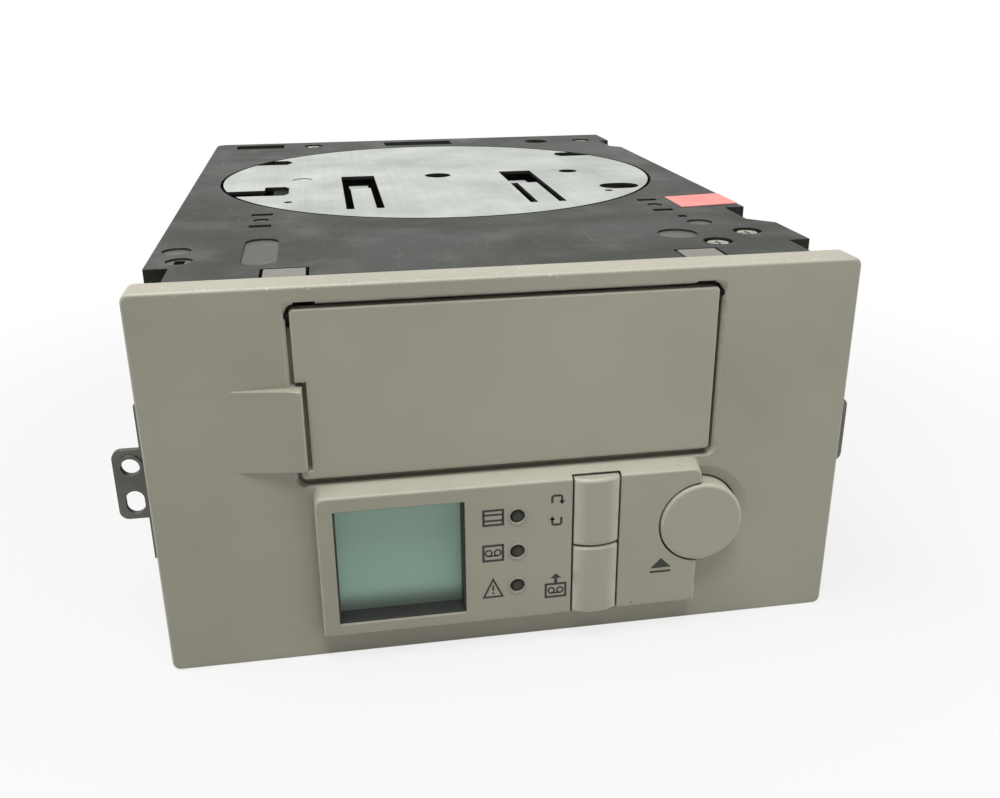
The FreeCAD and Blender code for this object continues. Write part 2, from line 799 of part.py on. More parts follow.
# Ear brackets: bent steel with one round and one oblong hole each
ear_side = num("case_w")/2 + num("flange_out") + num("ear_corner")/2
for name, sign in (("left", "-"), ("right", "")):
    ear = Body("ear_bracket_" + name)
    leg = ("%s%s - ear_t" % (sign, SIDE), sign + SIDE) if sign else (SIDE, SIDE + " + ear_t")
    ear.pad("XZ", ("ear_y", "ear_y + ear_t"), [
        (sign + SIDE, "flange_low"), (sign + "flange_x", "flange_low"), (sign + "flange_x", "ear_low"),
        (sign + "ear_x", "ear_low"), (sign + "ear_x", "ear_top"), (sign + "flange_x", "ear_top"),
        (sign + "flange_x", "flange_top"), (sign + SIDE, "flange_top")])
    ear.pad("YZ", leg, rect(("ear_y", "ear_y + leg_len"), ("flange_low", "flange_top")))
    ear.fillet("ear_corner", lambda b: along("y", b) and abs(b.XMin) > ear_side)
    ear.pad("XZ", ("ear_y - dimple_t", "ear_y"),
            ("circle", sign + "ear_hole_x", "ear_hole_z", "dimple_r"))
    through = ("ear_y - 2*dimple_t", "ear_y + 2*ear_t")
    ear.pocket("XZ", through, ("circle", sign + "ear_hole_x", "ear_hole_z", "ear_hole_r"),
               ("circle", sign + "ear_hole_x", "ear_slot_z - ear_slot_len/2 + ear_hole_r", "ear_hole_r"))
    ear.pocket("XZ", through, ("circle", sign + "ear_hole_x", "ear_slot_z + ear_slot_len/2 - ear_hole_r",
                               "ear_hole_r"))
    ear.pocket("XZ", through, rect(
        ("%sear_hole_x - ear_hole_r" % sign, "%sear_hole_x + ear_hole_r" % sign),
        ("ear_slot_z - ear_slot_len/2 + ear_hole_r", "ear_slot_z + ear_slot_len/2 - ear_hole_r")))
    ear.pocket("YZ", ("-case_w", "case_w"),
               *[("circle", y, z, "screw_r + run_gap") for y, z in LEG_SCREWS])

# Bezel: moulded front with the door opening, the raised console, the key block and snap hooks
BEZEL_SIDE = "(case_w/2 + bezel_side)"
face_front = num("front_y")
block = box("bezel_block", ("-" + BEZEL_SIDE, BEZEL_SIDE), ("0", "bezel_depth"), ("0", "bezel_h"))
block = round_edges("bezel_corners", block, "bezel_corner", lambda b: along("y", b))
block = round_edges("bezel_edges", block, "bezel_edge", lambda b: b.YMax < face_front + 0.01)
hollow = box("bezel_hollow", ("rim_wall - " + BEZEL_SIDE, BEZEL_SIDE + " - rim_wall"),
             ("bezel_wall", "bezel_depth + 1"), ("rim_wall", "bezel_h - rim_wall"))
shell = cut("bezel_shell", block, [hollow])
CONSOLE_TOP = "(console_z + console_h)"
console = wedge("console", ("console_left", CONSOLE_RIGHT), ("-console_out", "bezel_wall/2"),
                ("console_z", CONSOLE_TOP), ("console_left - console_rise/2",
                                             CONSOLE_RIGHT + " + console_rise/2"),
                ("console_z - console_rise/2", CONSOLE_TOP + " + ledge_rise"))
console_mid = num("console_z") + num("console_h")/2
console = round_edges("console_corners", console, "console_corner", lambda b: b.YLength > 1
                      and b.ZMin > console_mid)
console_face = face_front - num("console_out")
console = round_edges("console_edges", console, "console_edge", lambda b: b.YMax < console_face + 0.01)
doorway = box("door_opening", ("-" + OPEN_X, OPEN_X), ("-1", "bezel_wall + 1"),
              ("door_z - door_under", DOOR_TOP + " + door_gap"))
slope = wedge("door_bevel", ("-%s - door_bevel" % OPEN_X, OPEN_X + " + door_bevel"), ("0", "bevel_deep"),
              ("door_z - door_under", DOOR_TOP + " + door_gap + door_bevel"), ("-" + OPEN_X, OPEN_X),
              ("door_z - door_under", DOOR_TOP + " + door_gap"))
half_deep = num("bevel_deep")/2
openings = [
    round_edges("door_opening_corners", doorway, "opening_corner", lambda b: along("y", b)),
    round_edges("door_bevel_corners", slope, "opening_corner", lambda b: b.YLength > half_deep),
    box("console_hollow", ("console_left + console_wall", CONSOLE_RIGHT + " - console_wall"),
        (CONSOLE_BACK, "bezel_wall + 1"), ("console_z + console_wall", CONSOLE_TOP + " - console_roof")),
    box("lcd_window", ("lcd_left", "lcd_left + lcd_w"), ("-console_out - 1", "0"),
        ("lcd_z", "lcd_z + lcd_h")),
    box("cap_slot", ("cap_x - cap_w/2 - cap_gap", "cap_x + cap_w/2 + cap_gap"),
        ("-console_out - 1", "press + fit_gap - cap_back"),
        ("console_z - 2", "cap_top + cap_gap")),
    rod("eject_hole", "y", ("eject_x", "-console_out - 1", "eject_z"), "eject_r + eject_gap",
        "bezel_wall + 1"),
]
openings += [rod("led_hole_%d" % i, "y", ("led_x", "-console_out - 1", "led_z + %d*led_pitch" % i),
                 "led_r", "0")
             for i in range(3)]
for sign in ("-", ""):
    low, high = ("-%s - pin_out" % OPEN_X, "0") if sign else ("0", OPEN_X + " + pin_out")
    openings.append(rod("pin_hole_" + (sign and "left" or "right"), "x", (low, HINGE_Y, HINGE_Z),
                        "pin_r + run_gap", high))
    edge = ("relief_in - " + OPEN_X, "relief_w - " + OPEN_X) if sign else (
        OPEN_X + " - relief_w", OPEN_X + " - relief_in")
    openings.append(box("relief_" + (sign and "left" or "right"), edge, ("-1", "bezel_wall + 1"),
                        (DOOR_TOP, DOOR_TOP + " + door_gap + relief_h")))
dish = common("dish", (
    rod("dish_cone", "y", ("eject_x", "0", "eject_z"), ("dish_r", "eject_r + eject_gap"), "dish_deep",
        "Part::Cone"),
    box("dish_side", (CONSOLE_RIGHT + " + console_rise", "case_w"), ("-1", "bezel_wall"),
        ("0", "bezel_h"))))
openings.append(dish)
front = cut("bezel_front", fuse("bezel_joined", [shell, console]), openings)
key = wedge("key", ("key_right - key_flat", "key_right"), ("-key_out", "0"), ("key_z", "key_z + key_h"),
            ("key_left", "key_right"), ("key_z", "key_z + key_h"))
key_face = num("key_in") - num("door_w")/2
key = round_edges("key_corners", key, "bezel_edge", lambda b: along("y", b) and b.XMin > key_face - 0.01)
key_front = face_front - num("key_out")
key = round_edges("key_edges", key, "key_edge", lambda b: b.YMax < key_front + 0.01)
key_root = box("key_root", ("-%s - 1" % OPEN_X, "key_right"), ("0", "bezel_wall"),
               ("key_z", "key_z + key_h"))
lintel = box("lintel", ("relief_w - " + OPEN_X, OPEN_X + " - relief_w"),
             ("bezel_wall", "bezel_wall + lintel_t"),
             (DOOR_TOP + " + lintel_in", "bezel_h - rim_wall/2"))
extras = [key, key_root, lintel]
for i, (x, z) in enumerate(BOSSES):
    boss = rod("boss_%d" % i, "y", (x, "bezel_wall - 1", z), "boss_r", "board_y")
    pilot = rod("boss_pilot_%d" % i, "y", (x, "bezel_wall + boss_floor", z), "screw_r", "board_y + 1")
    extras.append(cut("boss_bored_%d" % i, boss, [pilot]))
for sign in ("-", ""):
    reach = ("%shook_x - hook_w/2" % sign, "%shook_x + hook_w/2" % sign)
    extras.append(box("hook_top", reach, ("bezel_wall", "hook_len"), ("case_h - hook_t", "case_h")))
    extras.append(box("hook_low", reach, ("bezel_wall", "hook_len"), ("sheet", "sheet + hook_t")))
finish(fuse("bezel_moulding", [front] + extras), "bezel")

# Magazine door: top-hinged flap with a notch that clears the key block and a rim behind the bezel
# that stops it from swinging outwards
door = Body("magazine_door")
NOTCH = "key_right + door_gap"
door.pad("XZ", ("door_sink", "door_sink + door_t"), [
    ("-door_w/2", "door_z"), ("door_w/2", "door_z"), ("door_w/2", DOOR_TOP), ("-door_w/2", DOOR_TOP),
    ("-door_w/2", "key_z + key_h + door_gap"), (NOTCH, "key_z + key_h + door_gap"),
    (NOTCH, "key_z - door_gap"), ("-door_w/2", "key_z - door_gap")])
door_middle = num("door_z") + (num("case_h") + num("bezel_over") - num("door_below") - num("door_z"))/2
half_tall = door_middle - num("door_z") - 0.01
door.fillet("door_corner", lambda b: along("y", b) and abs(b.ZMin - door_middle) > half_tall)
door.fillet("door_edge", lambda b: b.YMax < num("door_sink") + 0.01)
STOP_X = "(door_w/2 + door_gap + stop_over)"
STOP_LOW = "door_z - door_under - stop_over"
STOP_TOP = DOOR_TOP + " - stop_below"
door.pad("XZ", ("door_sink + door_t", "door_sink + door_t + stop_t"), [
    ("-" + STOP_X, STOP_LOW), (STOP_X, STOP_LOW), (STOP_X, STOP_TOP), ("door_w/2 - stop_in", STOP_TOP),
    ("door_w/2 - stop_in", "door_z + stop_in"), ("stop_in - door_w/2 + key_in", "door_z + stop_in"),
    ("stop_in - door_w/2 + key_in", STOP_TOP), ("-" + STOP_X, STOP_TOP)])
for low, high in (("-door_w", "pin_in - door_w/2"), ("door_w/2 - pin_in", "door_w")):
    door.pocket("YZ", (low, high), ("circle", HINGE_Y, HINGE_Z, "pin_r"))
pins = [rod("door_pin_left", "x", ("-%s - pin_out + fit_gap" % OPEN_X, HINGE_Y, HINGE_Z), "pin_r",
            "pin_in - door_w/2"),
        rod("door_pin_right", "x", ("door_w/2 - pin_in", HINGE_Y, HINGE_Z), "pin_r",
            OPEN_X + " + pin_out - fit_gap")]
finish(group("door_pin_pair", pins), "door_pins")

# Eject button: round cap with a rear lip and a stem
cap_front = num("front_y") - num("eject_out")
cap = rod("eject_cap", "y", ("eject_x", "-eject_out", "eject_z"), "eject_r", "bezel_wall + fit_gap")
cap = round_edges("eject_rounded", cap, "eject_edge", lambda b: b.YMax < cap_front + 0.01)
lip = rod("eject_lip", "y", ("eject_x", "bezel_wall + fit_gap", "eject_z"), "eject_r + lip + fit_gap",
          "bezel_wall + fit_gap + lip_t")
stem = rod("eject_stem", "y", ("eject_x", "bezel_wall", "eject_z"), "stem_r", "stem_end")
finish(fuse("eject_button_solid", [cap, lip, stem]), "eject_button")

# Upper and lower buttons: barrel-fronted caps that share one slot in the console
CAP_RADIUS = "((cap_w^2/4 + cap_bulge^2)/(2*cap_bulge))"
CAP_FRONT = "(console_out + cap_bulge)"
for name, low, high, lip_low, lip_high in (
        ("upper", "cap_split + run_gap*3", "cap_top", "cap_split + lip",
         CONSOLE_TOP + " - console_roof - fit_gap*2"),
        ("lower", "cap_low", "cap_split - run_gap*3", "console_z + console_wall + fit_gap*2",
         "cap_split - lip")):
    bar = box(name + "_bar", ("cap_x - cap_w/2", "cap_x + cap_w/2"), ("-" + CAP_FRONT, "-cap_back"),
              (low, high))
    barrel = rod(name + "_barrel", "z", ("cap_x", "%s - %s" % (CAP_RADIUS, CAP_FRONT), low), CAP_RADIUS,
                 high)
    cap = common(name + "_cap", (bar, barrel))
    back = num("front_y") - num("console_out")
    cap = round_edges(name + "_rounded", cap, "cap_edge", lambda b: b.ZLength < 0.01
                      and b.YMax < back + 0.01
                      and b.XLength > 1)
    lip = box(name + "_lip", ("cap_x - cap_w/2 - lip", "cap_x + cap_w/2 + lip"),
              (CONSOLE_BACK + " + fit_gap", CONSOLE_BACK + " + fit_gap + lip_t"), (lip_low, lip_high))
    stem = rod(name + "_stem", "y", (SWITCHES[name][0], "-cap_back - 1", SWITCHES[name][1]), "stem_r",
               "stem_end")
    finish(fuse(name + "_button_solid", [cap, lip, stem]), name + "_button")

# Switches behind the buttons, each with a plunger that sinks into its body
switches = []
SWITCH_FACE = "(board_y - switch_t)"
for name, (x, z) in SWITCHES.items():
    body = box(name + "_switch", (x + " - switch_w/2", x + " + switch_w/2"), (SWITCH_FACE, "board_y"),
               (z + " - switch_w/2", z + " + switch_w/2"))
    bore = rod(name + "_bore", "y", (x, SWITCH_FACE + " - 1", z), "plunger_r + run_gap",
               "board_y - fit_gap")
    switches.append(cut(name + "_switch_bored", body, [bore]))
    plunger = rod(name + "_plunger_rod", "y", (x, "stem_end", z), "plunger_r",
                  SWITCH_FACE + " + plunger_in")
    finish(plunger, name + "_plunger")
finish(group("switch_bodies", switches), "tact_switches")

# Display: dark frame, glass and light block stacked behind the console window
LCD_RIGHT = "(lcd_left + lcd_w)"
LCD_TOP = "(lcd_z + lcd_h)"
well = box("lcd_well", ("lcd_left - lcd_lip", LCD_RIGHT + " + lcd_lip"),
           (CONSOLE_BACK + " - 1", "board_y + 1"),
           ("lcd_z - lcd_lip", LCD_TOP + " + lcd_lip"))
around = box("lcd_around", ("lcd_left - lcd_lip - lcd_wall", LCD_RIGHT + " + lcd_lip + lcd_wall"),
             (CONSOLE_BACK, "board_y"),
             ("console_z + console_wall + fit_gap", LCD_TOP + " + lcd_lip + lcd_wall"))
finish(cut("lcd_frame_solid", around, [well]), "lcd_frame")
PANE = (("lcd_left - lcd_lip", LCD_RIGHT + " + lcd_lip"), ("lcd_z - lcd_lip", LCD_TOP + " + lcd_lip"))
finish(box("lcd_pane", PANE[0], ("lcd_y", "lcd_y + glass_t"), PANE[1]), "lcd_glass")
finish(box("lcd_light", PANE[0], ("lcd_y + glass_t", "board_y"), PANE[1]), "lcd_backlight")

# Status lamps: light pipes in the console and the lamps on the board
LAMPS = ["(led_z + %d*led_pitch)" % i for i in range(3)]
pipes = [rod("pipe_%d" % i, "y", ("led_x", "fit_gap - console_out", z), "led_r - run_gap",
             "board_y - lamp_t")
         for i, z in enumerate(LAMPS)]
finish(group("pipe_set", pipes), "light_pipes")
lamps = [box("lamp_%d" % i, ("led_x - led_r", "led_x + led_r"), ("board_y - lamp_t", "board_y"),
             (z + " - lamp_h/2", z + " + lamp_h/2"))
         for i, z in enumerate(LAMPS)]
finish(group("lamp_set", lamps), "status_lamps")

# Front panel board and its screws
panel = Body("panel_board")
panel.pad("XZ", ("board_y", "board_y + board_t"),
          rect(("board_left", "board_right"), ("board_z", "board_top")),
          *[("circle", x, z, "screw_r + fit_gap") for x, z in BOSSES])
screws = []
for i, (x, z) in enumerate(BOSSES):
    head = rod("panel_head_%d" % i, "y", (x, "board_y + board_t", z), "boss_r - fit_gap",
               "board_y + board_t + head_t")
    shank = rod("panel_shank_%d" % i, "y", (x, "bezel_wall + boss_floor + 1", z), "screw_r - run_gap",
                "board_y + board_t + head_t/2")
    screws.append(fuse("panel_screw_%d" % i, [head, shank]))
finish(group("panel_screw_set", screws), "panel_screws")

# Flat cable along the floor between the two boards, and its headers
CABLE = ("cable_left", "cable_left + cable_w")
HEADER = ("cable_left - header_lip", "cable_left + cable_w + header_lip")
BOARD_BACK = "(board_y + board_t)"
HEADER_Y = "(main_y - header_len)"
CABLE_Y = "(board_y + board_t + header_t/2)"
CABLE_TURN = "(main_y - header_len - cable_bend)"
CABLE_TOP = "(main_z + board_t/2 + cable_t/2)"
finish(fuse("cable_run", [
    box("cable_down", CABLE, (CABLE_Y, CABLE_Y + " + cable_t"), ("sheet", "board_z + header_in")),
    box("cable_floor", CABLE, (CABLE_Y, CABLE_TURN), ("sheet", "sheet + cable_t")),
    box("cable_up", CABLE, (CABLE_TURN + " - cable_t", CABLE_TURN), ("sheet", CABLE_TOP)),
    box("cable_in", CABLE, (CABLE_TURN + " - cable_t", HEADER_Y), (CABLE_TOP + " - cable_t", CABLE_TOP)),
]), "panel_cable")
finish(group("header_pair", [
    box("header_panel", HEADER, (BOARD_BACK, BOARD_BACK + " + header_t"),
        ("board_z + header_in", "board_z + header_in + header_len")),
    box("header_main", HEADER, (HEADER_Y, "main_y"), ("main_z - board_t/2", MAIN_TOP + " + board_t/2")),
]), "cable_headers")

# Turntable: sprung sheet disc in the lid, moulded base, two folded magazine guides and a bush
disc = Body("turntable_disc")
disc.pad("XY", (TABLE_TOP, "case_h"), ("circle", "0", "turn_y", "turn_r"),
         ("circle", "0", "turn_y", "spindle_r"),
         ("circle", "disc_hole_x", "turn_y", "disc_hole_r"),
         ("circle", "peg_x", "peg_y", "peg_r"), ("circle", "-peg_x", "peg_y", "peg_r"),
         *[rect((sign + "tongue_x - window_w/2", sign + "tongue_x + window_w/2"),
                ("window_y", "window_y + window_len")) for sign in ("-", "")])
DISC_CUT = (TABLE_TOP + " - 1", "case_h")
REAR_NICK = ("rear_nick_y - rear_nick_w/2", "rear_nick_y + rear_nick_w/2")
disc.pocket("XY", DISC_CUT, rect(("nick_x", "nick_x + nick_run"), ("nick_y - nick_r", "nick_y + nick_r")),
            rect(("-turn_r", "-keyhole_x"), ("keyhole_y - keyhole_neck/2", "keyhole_y + keyhole_neck/2")),
            *[[(sign + "(rear_nick_x + rear_nick_cut)", REAR_NICK[0]), (sign + "turn_r", REAR_NICK[0]),
               (sign + "turn_r", REAR_NICK[1]), (sign + "(rear_nick_x + rear_nick_cut)", REAR_NICK[1]),
               (sign + "rear_nick_x", REAR_NICK[1] + " - 2*rear_nick_cut"),
               (sign + "rear_nick_x", REAR_NICK[0] + " + 2*rear_nick_cut")] for sign in ("-", "")])
KEYHOLE_NEAR = "(keyhole_y - keyhole_front)"
KEYHOLE_FAR = "(keyhole_y - keyhole_front + keyhole_len)"
disc.pocket("XY", DISC_CUT, ("circle", "nick_x", "nick_y", "nick_r"), [
    ("-keyhole_x", KEYHOLE_NEAR), ("keyhole_w - keyhole_x - keyhole_cut", KEYHOLE_NEAR),
    ("keyhole_w - keyhole_x", KEYHOLE_NEAR + " + 2*keyhole_cut"),
    ("keyhole_w - keyhole_x", KEYHOLE_FAR + " - 2*keyhole_cut"),
    ("keyhole_w - keyhole_x - keyhole_cut", KEYHOLE_FAR), ("-keyhole_x", KEYHOLE_FAR)])
disc.pocket("XY", DISC_CUT, ("circle", "nick_x + nick_run", "nick_y", "nick_r"))
disc.pocket("XY", ("case_h - recess/2", "case_h"), ("circle", "-disc_hole_x", "turn_y", "disc_hole_r"))
FOLD_Y = "(window_y + tongue_flat)"
TIP_Y = "(window_y + tongue_flat + tongue_run)"
for sign in ("-", ""):
    disc.pad("YZ", (sign + "tongue_x - tongue_w/2", sign + "tongue_x + tongue_w/2"), [
        ("window_y - 1", TABLE_TOP), (FOLD_Y, TABLE_TOP), (TIP_Y, TABLE_TOP + " - tongue_drop"),
        (TIP_Y + " + tongue_lip", TABLE_TOP + " - tongue_drop"),
        (TIP_Y + " + tongue_lip", TABLE_TOP + " - tongue_drop + disc_t"),
        (TIP_Y, TABLE_TOP + " - tongue_drop + disc_t"), (FOLD_Y, "case_h"), ("window_y - 1", "case_h")])
plate = rod("base_plate", "z", ("0", "turn_y", "base_z"), "base_r", FLOOR)
hub = rod("base_hub", "z", ("0", "turn_y", DECK_TOP), "hub_r", FLOOR)
bore = rod("base_bore", "z", ("0", "turn_y", "deck_z"), "spindle_r + run_gap + bush_t", "case_h")
finish(cut("base_solid", fuse("base_joined", [plate, hub]), [bore]), "turntable_base")
guides = []
for name, sign in (("left", "-"), ("right", "")):
    outer = "guide_x + guide_t + guide_lip"
    faces = (("guide_x", "guide_x + guide_t"), ("guide_x", outer), ("guide_x", outer))
    if sign:
        faces = tuple(("-%s" % high.replace("+", "-"), "-%s" % low) for low, high in faces)
    rises = ((FLOOR, TABLE_TOP), (FLOOR, FLOOR + " + disc_t"), (TABLE_TOP + " - disc_t", TABLE_TOP))
    reach = ("turn_y - guide_len/2", "turn_y + guide_len/2")
    guides.append(fuse("guide_" + name, [box("guide_%s_%d" % (name, i), x, reach, z)
                                         for i, (x, z) in enumerate(zip(faces, rises))]))
finish(group("guide_pair", guides), "magazine_guides")
sleeve = rod("bush_sleeve", "z", ("0", "turn_y", DECK_TOP), "spindle_r + run_gap + bush_t", FLOOR)
hole = rod("bush_hole", "z", ("0", "turn_y", "deck_z"), "spindle_r + run_gap", "case_h")
finish(cut("bush_solid", sleeve, [hole]), "spindle_bush")
finish(rod("spindle", "z", ("0", "turn_y", "deck_z"), "spindle_r", FLOOR + " - fit_gap"),
       "turntable_spindle")


def gear_face(teeth, module, turn):
    """A toothed outline about the origin, with the middle of one tooth at the given angle."""
    pitch_r = teeth*module/2
    slope = math.radians(num("pressure"))
    base_r = pitch_r*math.cos(slope)
    root_r = pitch_r - num("dedendum")*module
    tip_r = pitch_r + num("addendum")*module
    half = (math.pi*module/2 - num("backlash"))/2/pitch_r
    start = max(root_r, base_r)
    flank = []
    for r in (start, (start + tip_r)/2, tip_r):
        lean = math.acos(min(1, base_r/r))
        flank.append((r, half + math.tan(slope) - slope - math.tan(lean) + lean))
    if root_r < base_r:
        flank.insert(0, (root_r, flank[0][1]))
    points = []
    for k in range(teeth):
        middle = turn + math.tau*k/teeth
        side = [(r, middle - a) for r, a in flank] + [(r, middle + a) for r, a in reversed(flank)]
        points += [FreeCAD.Vector(r*math.cos(a), r*math.sin(a), 0) for r, a in side]
    return Part.Face(Part.makePolygon(points + points[:1]))


def place_shape(label, shape, x, y, z):
    """Keep a computed shape as a piece at its own place."""
    piece = doc.addObject("Part::Feature", label + "_shape")
    piece.Shape = shape
    piece.Placement = FreeCAD.Placement(FreeCAD.Vector(x, num("front_y") + y, z), FreeCAD.Rotation())
    return finish(piece, label)


def upright(radius, low, high):
    """A plain cylinder on the Z axis of a computed shape."""
    return Part.makeCylinder(radius, high - low, FreeCAD.Vector(0, 0, low))


# Turntable gear and pinion: computed teeth, a tooth of the gear facing a gap of the pinion
gear_teeth = int(num("turn_teeth"))
pinion_teeth = int(num("turn_pinion"))
pinion_x = (gear_teeth + pinion_teeth)*num("turn_module")/2
gear_low = num("base_z") - num("gear_t")
turn_y = num("case_len") - num("turn_back")
teeth = gear_face(gear_teeth, num("turn_module"), 0).extrude(FreeCAD.Vector(0, 0, num("gear_t")))
ring = teeth.cut(upright(num("gear_bore"), -1, num("gear_t") + 1))
place_shape("turntable_gear", ring, 0, turn_y, gear_low)
teeth = gear_face(pinion_teeth, num("turn_module"), math.pi - math.pi/pinion_teeth)
pinion = teeth.extrude(FreeCAD.Vector(0, 0, num("gear_t")))
shaft = upright(num("shaft_r"), num("deck_z") - num("shaft_in") - gear_low, 1)
place_shape("turntable_pinion", pinion.fuse(shaft).removeSplitter(), pinion_x, turn_y, gear_low)

# Lift screw with its moulded gear, and the motor pinion beside it
gear_teeth = int(num("lift_teeth"))
pinion_teeth = int(num("lift_pinion"))
gear_height = FreeCAD.Vector(0, 0, num("lift_gear_t"))
core, crest, lead = num("screw_core"), num("screw_out"), num("groove_pitch")
lift_x = num("case_w")/2 - num("lift_in")
tab_under = num("case_h") - num("frame_t") - num("sheet")
screw_high = tab_under - num("bush_h") - num("screw_clear")
profile = [(0, num("screw_low")), (core, num("screw_low"))]
z = num("screw_low")
while z + lead <= screw_high:
    profile += [(core, z + lead*0.2), (crest, z + lead*0.4), (crest, z + lead*0.6), (core, z + lead*0.8)]
    z += lead
profile += [(core, screw_high), (0, screw_high)]
corners = [FreeCAD.Vector(r, 0, h) for r, h in profile]
thread = Part.Face(Part.makePolygon(corners + corners[:1])).revolve(FreeCAD.Vector(),
                                                                    FreeCAD.Vector(0, 0, 1), 360)
gear = gear_face(gear_teeth, num("lift_module"), math.pi/2).extrude(gear_height)
gear.translate(FreeCAD.Vector(0, 0, num("lift_gear_z")))
ends = [upright(num("journal_r"), num("sheet") + num("fit_gap"), num("screw_low") + 1),
        upright(num("journal_r"), screw_high - 1, tab_under - num("fit_gap"))]
place_shape("lift_screw", thread.multiFuse([gear] + ends).removeSplitter(), lift_x, num("lift_y"),
            0)
teeth = gear_face(pinion_teeth, num("lift_module"), -math.pi/2 - math.pi/pinion_teeth)
shaft = upright(num("shaft_r"), 1, num("lift_motor_z") + num("shaft_in") - num("lift_gear_z"))
motor_y = num("lift_y") + (gear_teeth + pinion_teeth)*num("lift_module")/2
place_shape("lift_pinion", teeth.extrude(gear_height).fuse(shaft).removeSplitter(), lift_x,
            motor_y,
            num("lift_gear_z"))

# Gear motors: round cans hung under the deck
for name, x, y, low, bore_low, bore_high in (
        ("turntable", PINION_X, "turn_y", "deck_z - motor_len", "deck_z - shaft_in - 1",
         DECK_TOP + " + 1"),
        ("lift", "lift_x", LIFT_MOTOR_Y, "lift_motor_z", "lift_motor_z - 1",
         "lift_motor_z + shaft_in + 1")):
    can = rod(name + "_can", "z", (x, y, low), "motor_r", "deck_z")
    boss = rod(name + "_boss", "z", (x, y, low), "motor_boss_r", DECK_TOP)
    bore = rod(name + "_shaft_hole", "z", (x, y, bore_low), "shaft_r + run_gap", bore_high)
    finish(cut(name + "_motor_solid", fuse(name + "_motor_joined", [can, boss]), [bore]), name + "_motor")

# Guide rods of the lift and the bushes of its screw
TAB_UNDER = "(%s - sheet)" % WALL_TOP
finish(group("rod_pair", [rod("rod_left", "z", ("-lift_x", "lift_y", "sheet"), "rod_r", TAB_UNDER),
                          rod("rod_right", "z", ("rod_x", "lift_y", "sheet"), "rod_r",
                              TAB_UNDER)]), "guide_rods")
bushes = []
for name, low, high in (("low", "sheet", "lift_gear_z - fit_gap"),
                        ("high", TAB_UNDER + " - bush_h", TAB_UNDER)):
    ring = rod("bush_%s_ring" % name, "z", ("lift_x", "lift_y", low), "nut_r", high)
    bore = rod("bush_%s_bore" % name, "z", ("lift_x", "lift_y", "0"), "journal_r + run_gap", "case_h")
    bushes.append(cut("bush_" + name, ring, [bore]))
finish(group("bush_pair", bushes), "screw_bushes")

# Lift carriage: tray with side rails and guide lugs, riding on bushes and a nut
TRAY_TOP = "(lift_z + lift_t)"
LUG = ("lift_y - lug_len/2", "lift_y + lug_len/2")
LUG_RISE = ("lift_z", "lift_z + lug_h")
tray = [box("tray", ("-tray_w/2", "tray_w/2"), ("tray_y", "tray_y + tray_len"), ("lift_z", TRAY_TOP))]
for sign in ("-", ""):
    rail = ("-tray_w/2", "rail_t - tray_w/2") if sign else ("tray_w/2 - rail_t", "tray_w/2")
    tray.append(box("tray_rail", rail, ("tray_y", "tray_y + tray_len"),
                    ("lift_z", TRAY_TOP + " + rail_h")))
    lug = ("-lug_x", "-tray_w/2 + 1") if sign else ("tray_w/2 - 1", "lug_x")
    tray.append(box("tray_lug", lug, LUG, LUG_RISE))
BUSH_R = "(rod_r + run_gap + rod_bush)"
carriage_holes = [rod("seat_left", "z", ("-lift_x", "lift_y", "0"), BUSH_R, "case_h"),
                  rod("seat_right", "z", ("rod_x", "lift_y", "0"), BUSH_R, "case_h"),
                  rod("seat_nut", "z", ("lift_x", "lift_y", "0"), "nut_r", "case_h"),
                  box("picker_slot", ("-picker_neck/2 - fit_gap", "picker_neck/2 + fit_gap"),
                      ("picker_y - fit_gap", "tray_y + tray_len - tray_end"), ("0", "case_h"))]
finish(cut("carriage_solid", fuse("carriage_joined", tray), carriage_holes), "lift_carriage")
sleeves = []
for name, x in (("left", "-lift_x"), ("right", "rod_x")):
    ring = rod("sleeve_%s_ring" % name, "z", (x, "lift_y", LUG_RISE[0]), BUSH_R, LUG_RISE[1])
    bore = rod("sleeve_%s_bore" % name, "z", (x, "lift_y", "0"), "rod_r + run_gap", "case_h")
    sleeves.append(cut("sleeve_" + name, ring, [bore]))
finish(group("sleeve_pair", sleeves), "carriage_bushes")
ring = rod("nut_ring", "z", ("lift_x", "lift_y", LUG_RISE[0]), "nut_r", LUG_RISE[1])
bore = rod("nut_bore", "z", ("lift_x", "lift_y", "0"), "screw_out + nut_gap", "case_h")
finish(cut("nut_solid", ring, [bore]), "lift_nut")

# Picker: block that slides along the tray slot, with a foot under the tray
PICKER = ("picker_y", "picker_y + picker_len")
UNDER_TRAY = "(lift_z - fit_gap)"
OVER_TRAY = "(lift_z + lift_t + fit_gap)"
WIDE = ("-picker_w/2", "picker_w/2")
finish(fuse("picker_solid", [
    box("picker_block", WIDE, PICKER, (OVER_TRAY, OVER_TRAY + " + picker_h")),
    box("picker_neck_bar", ("-picker_neck/2", "picker_neck/2"), PICKER,
        (UNDER_TRAY + " - 1", OVER_TRAY + " + 1")),
    box("picker_foot_bar", WIDE, PICKER, (UNDER_TRAY + " - picker_foot", UNDER_TRAY)),
    box("picker_hook", ("-picker_neck/2", "picker_neck/2"),
        ("picker_y + picker_len - 1", "picker_y + picker_len + picker_reach"),
        (OVER_TRAY + " + picker_h - picker_foot", OVER_TRAY + " + picker_h")),
]), "picker")

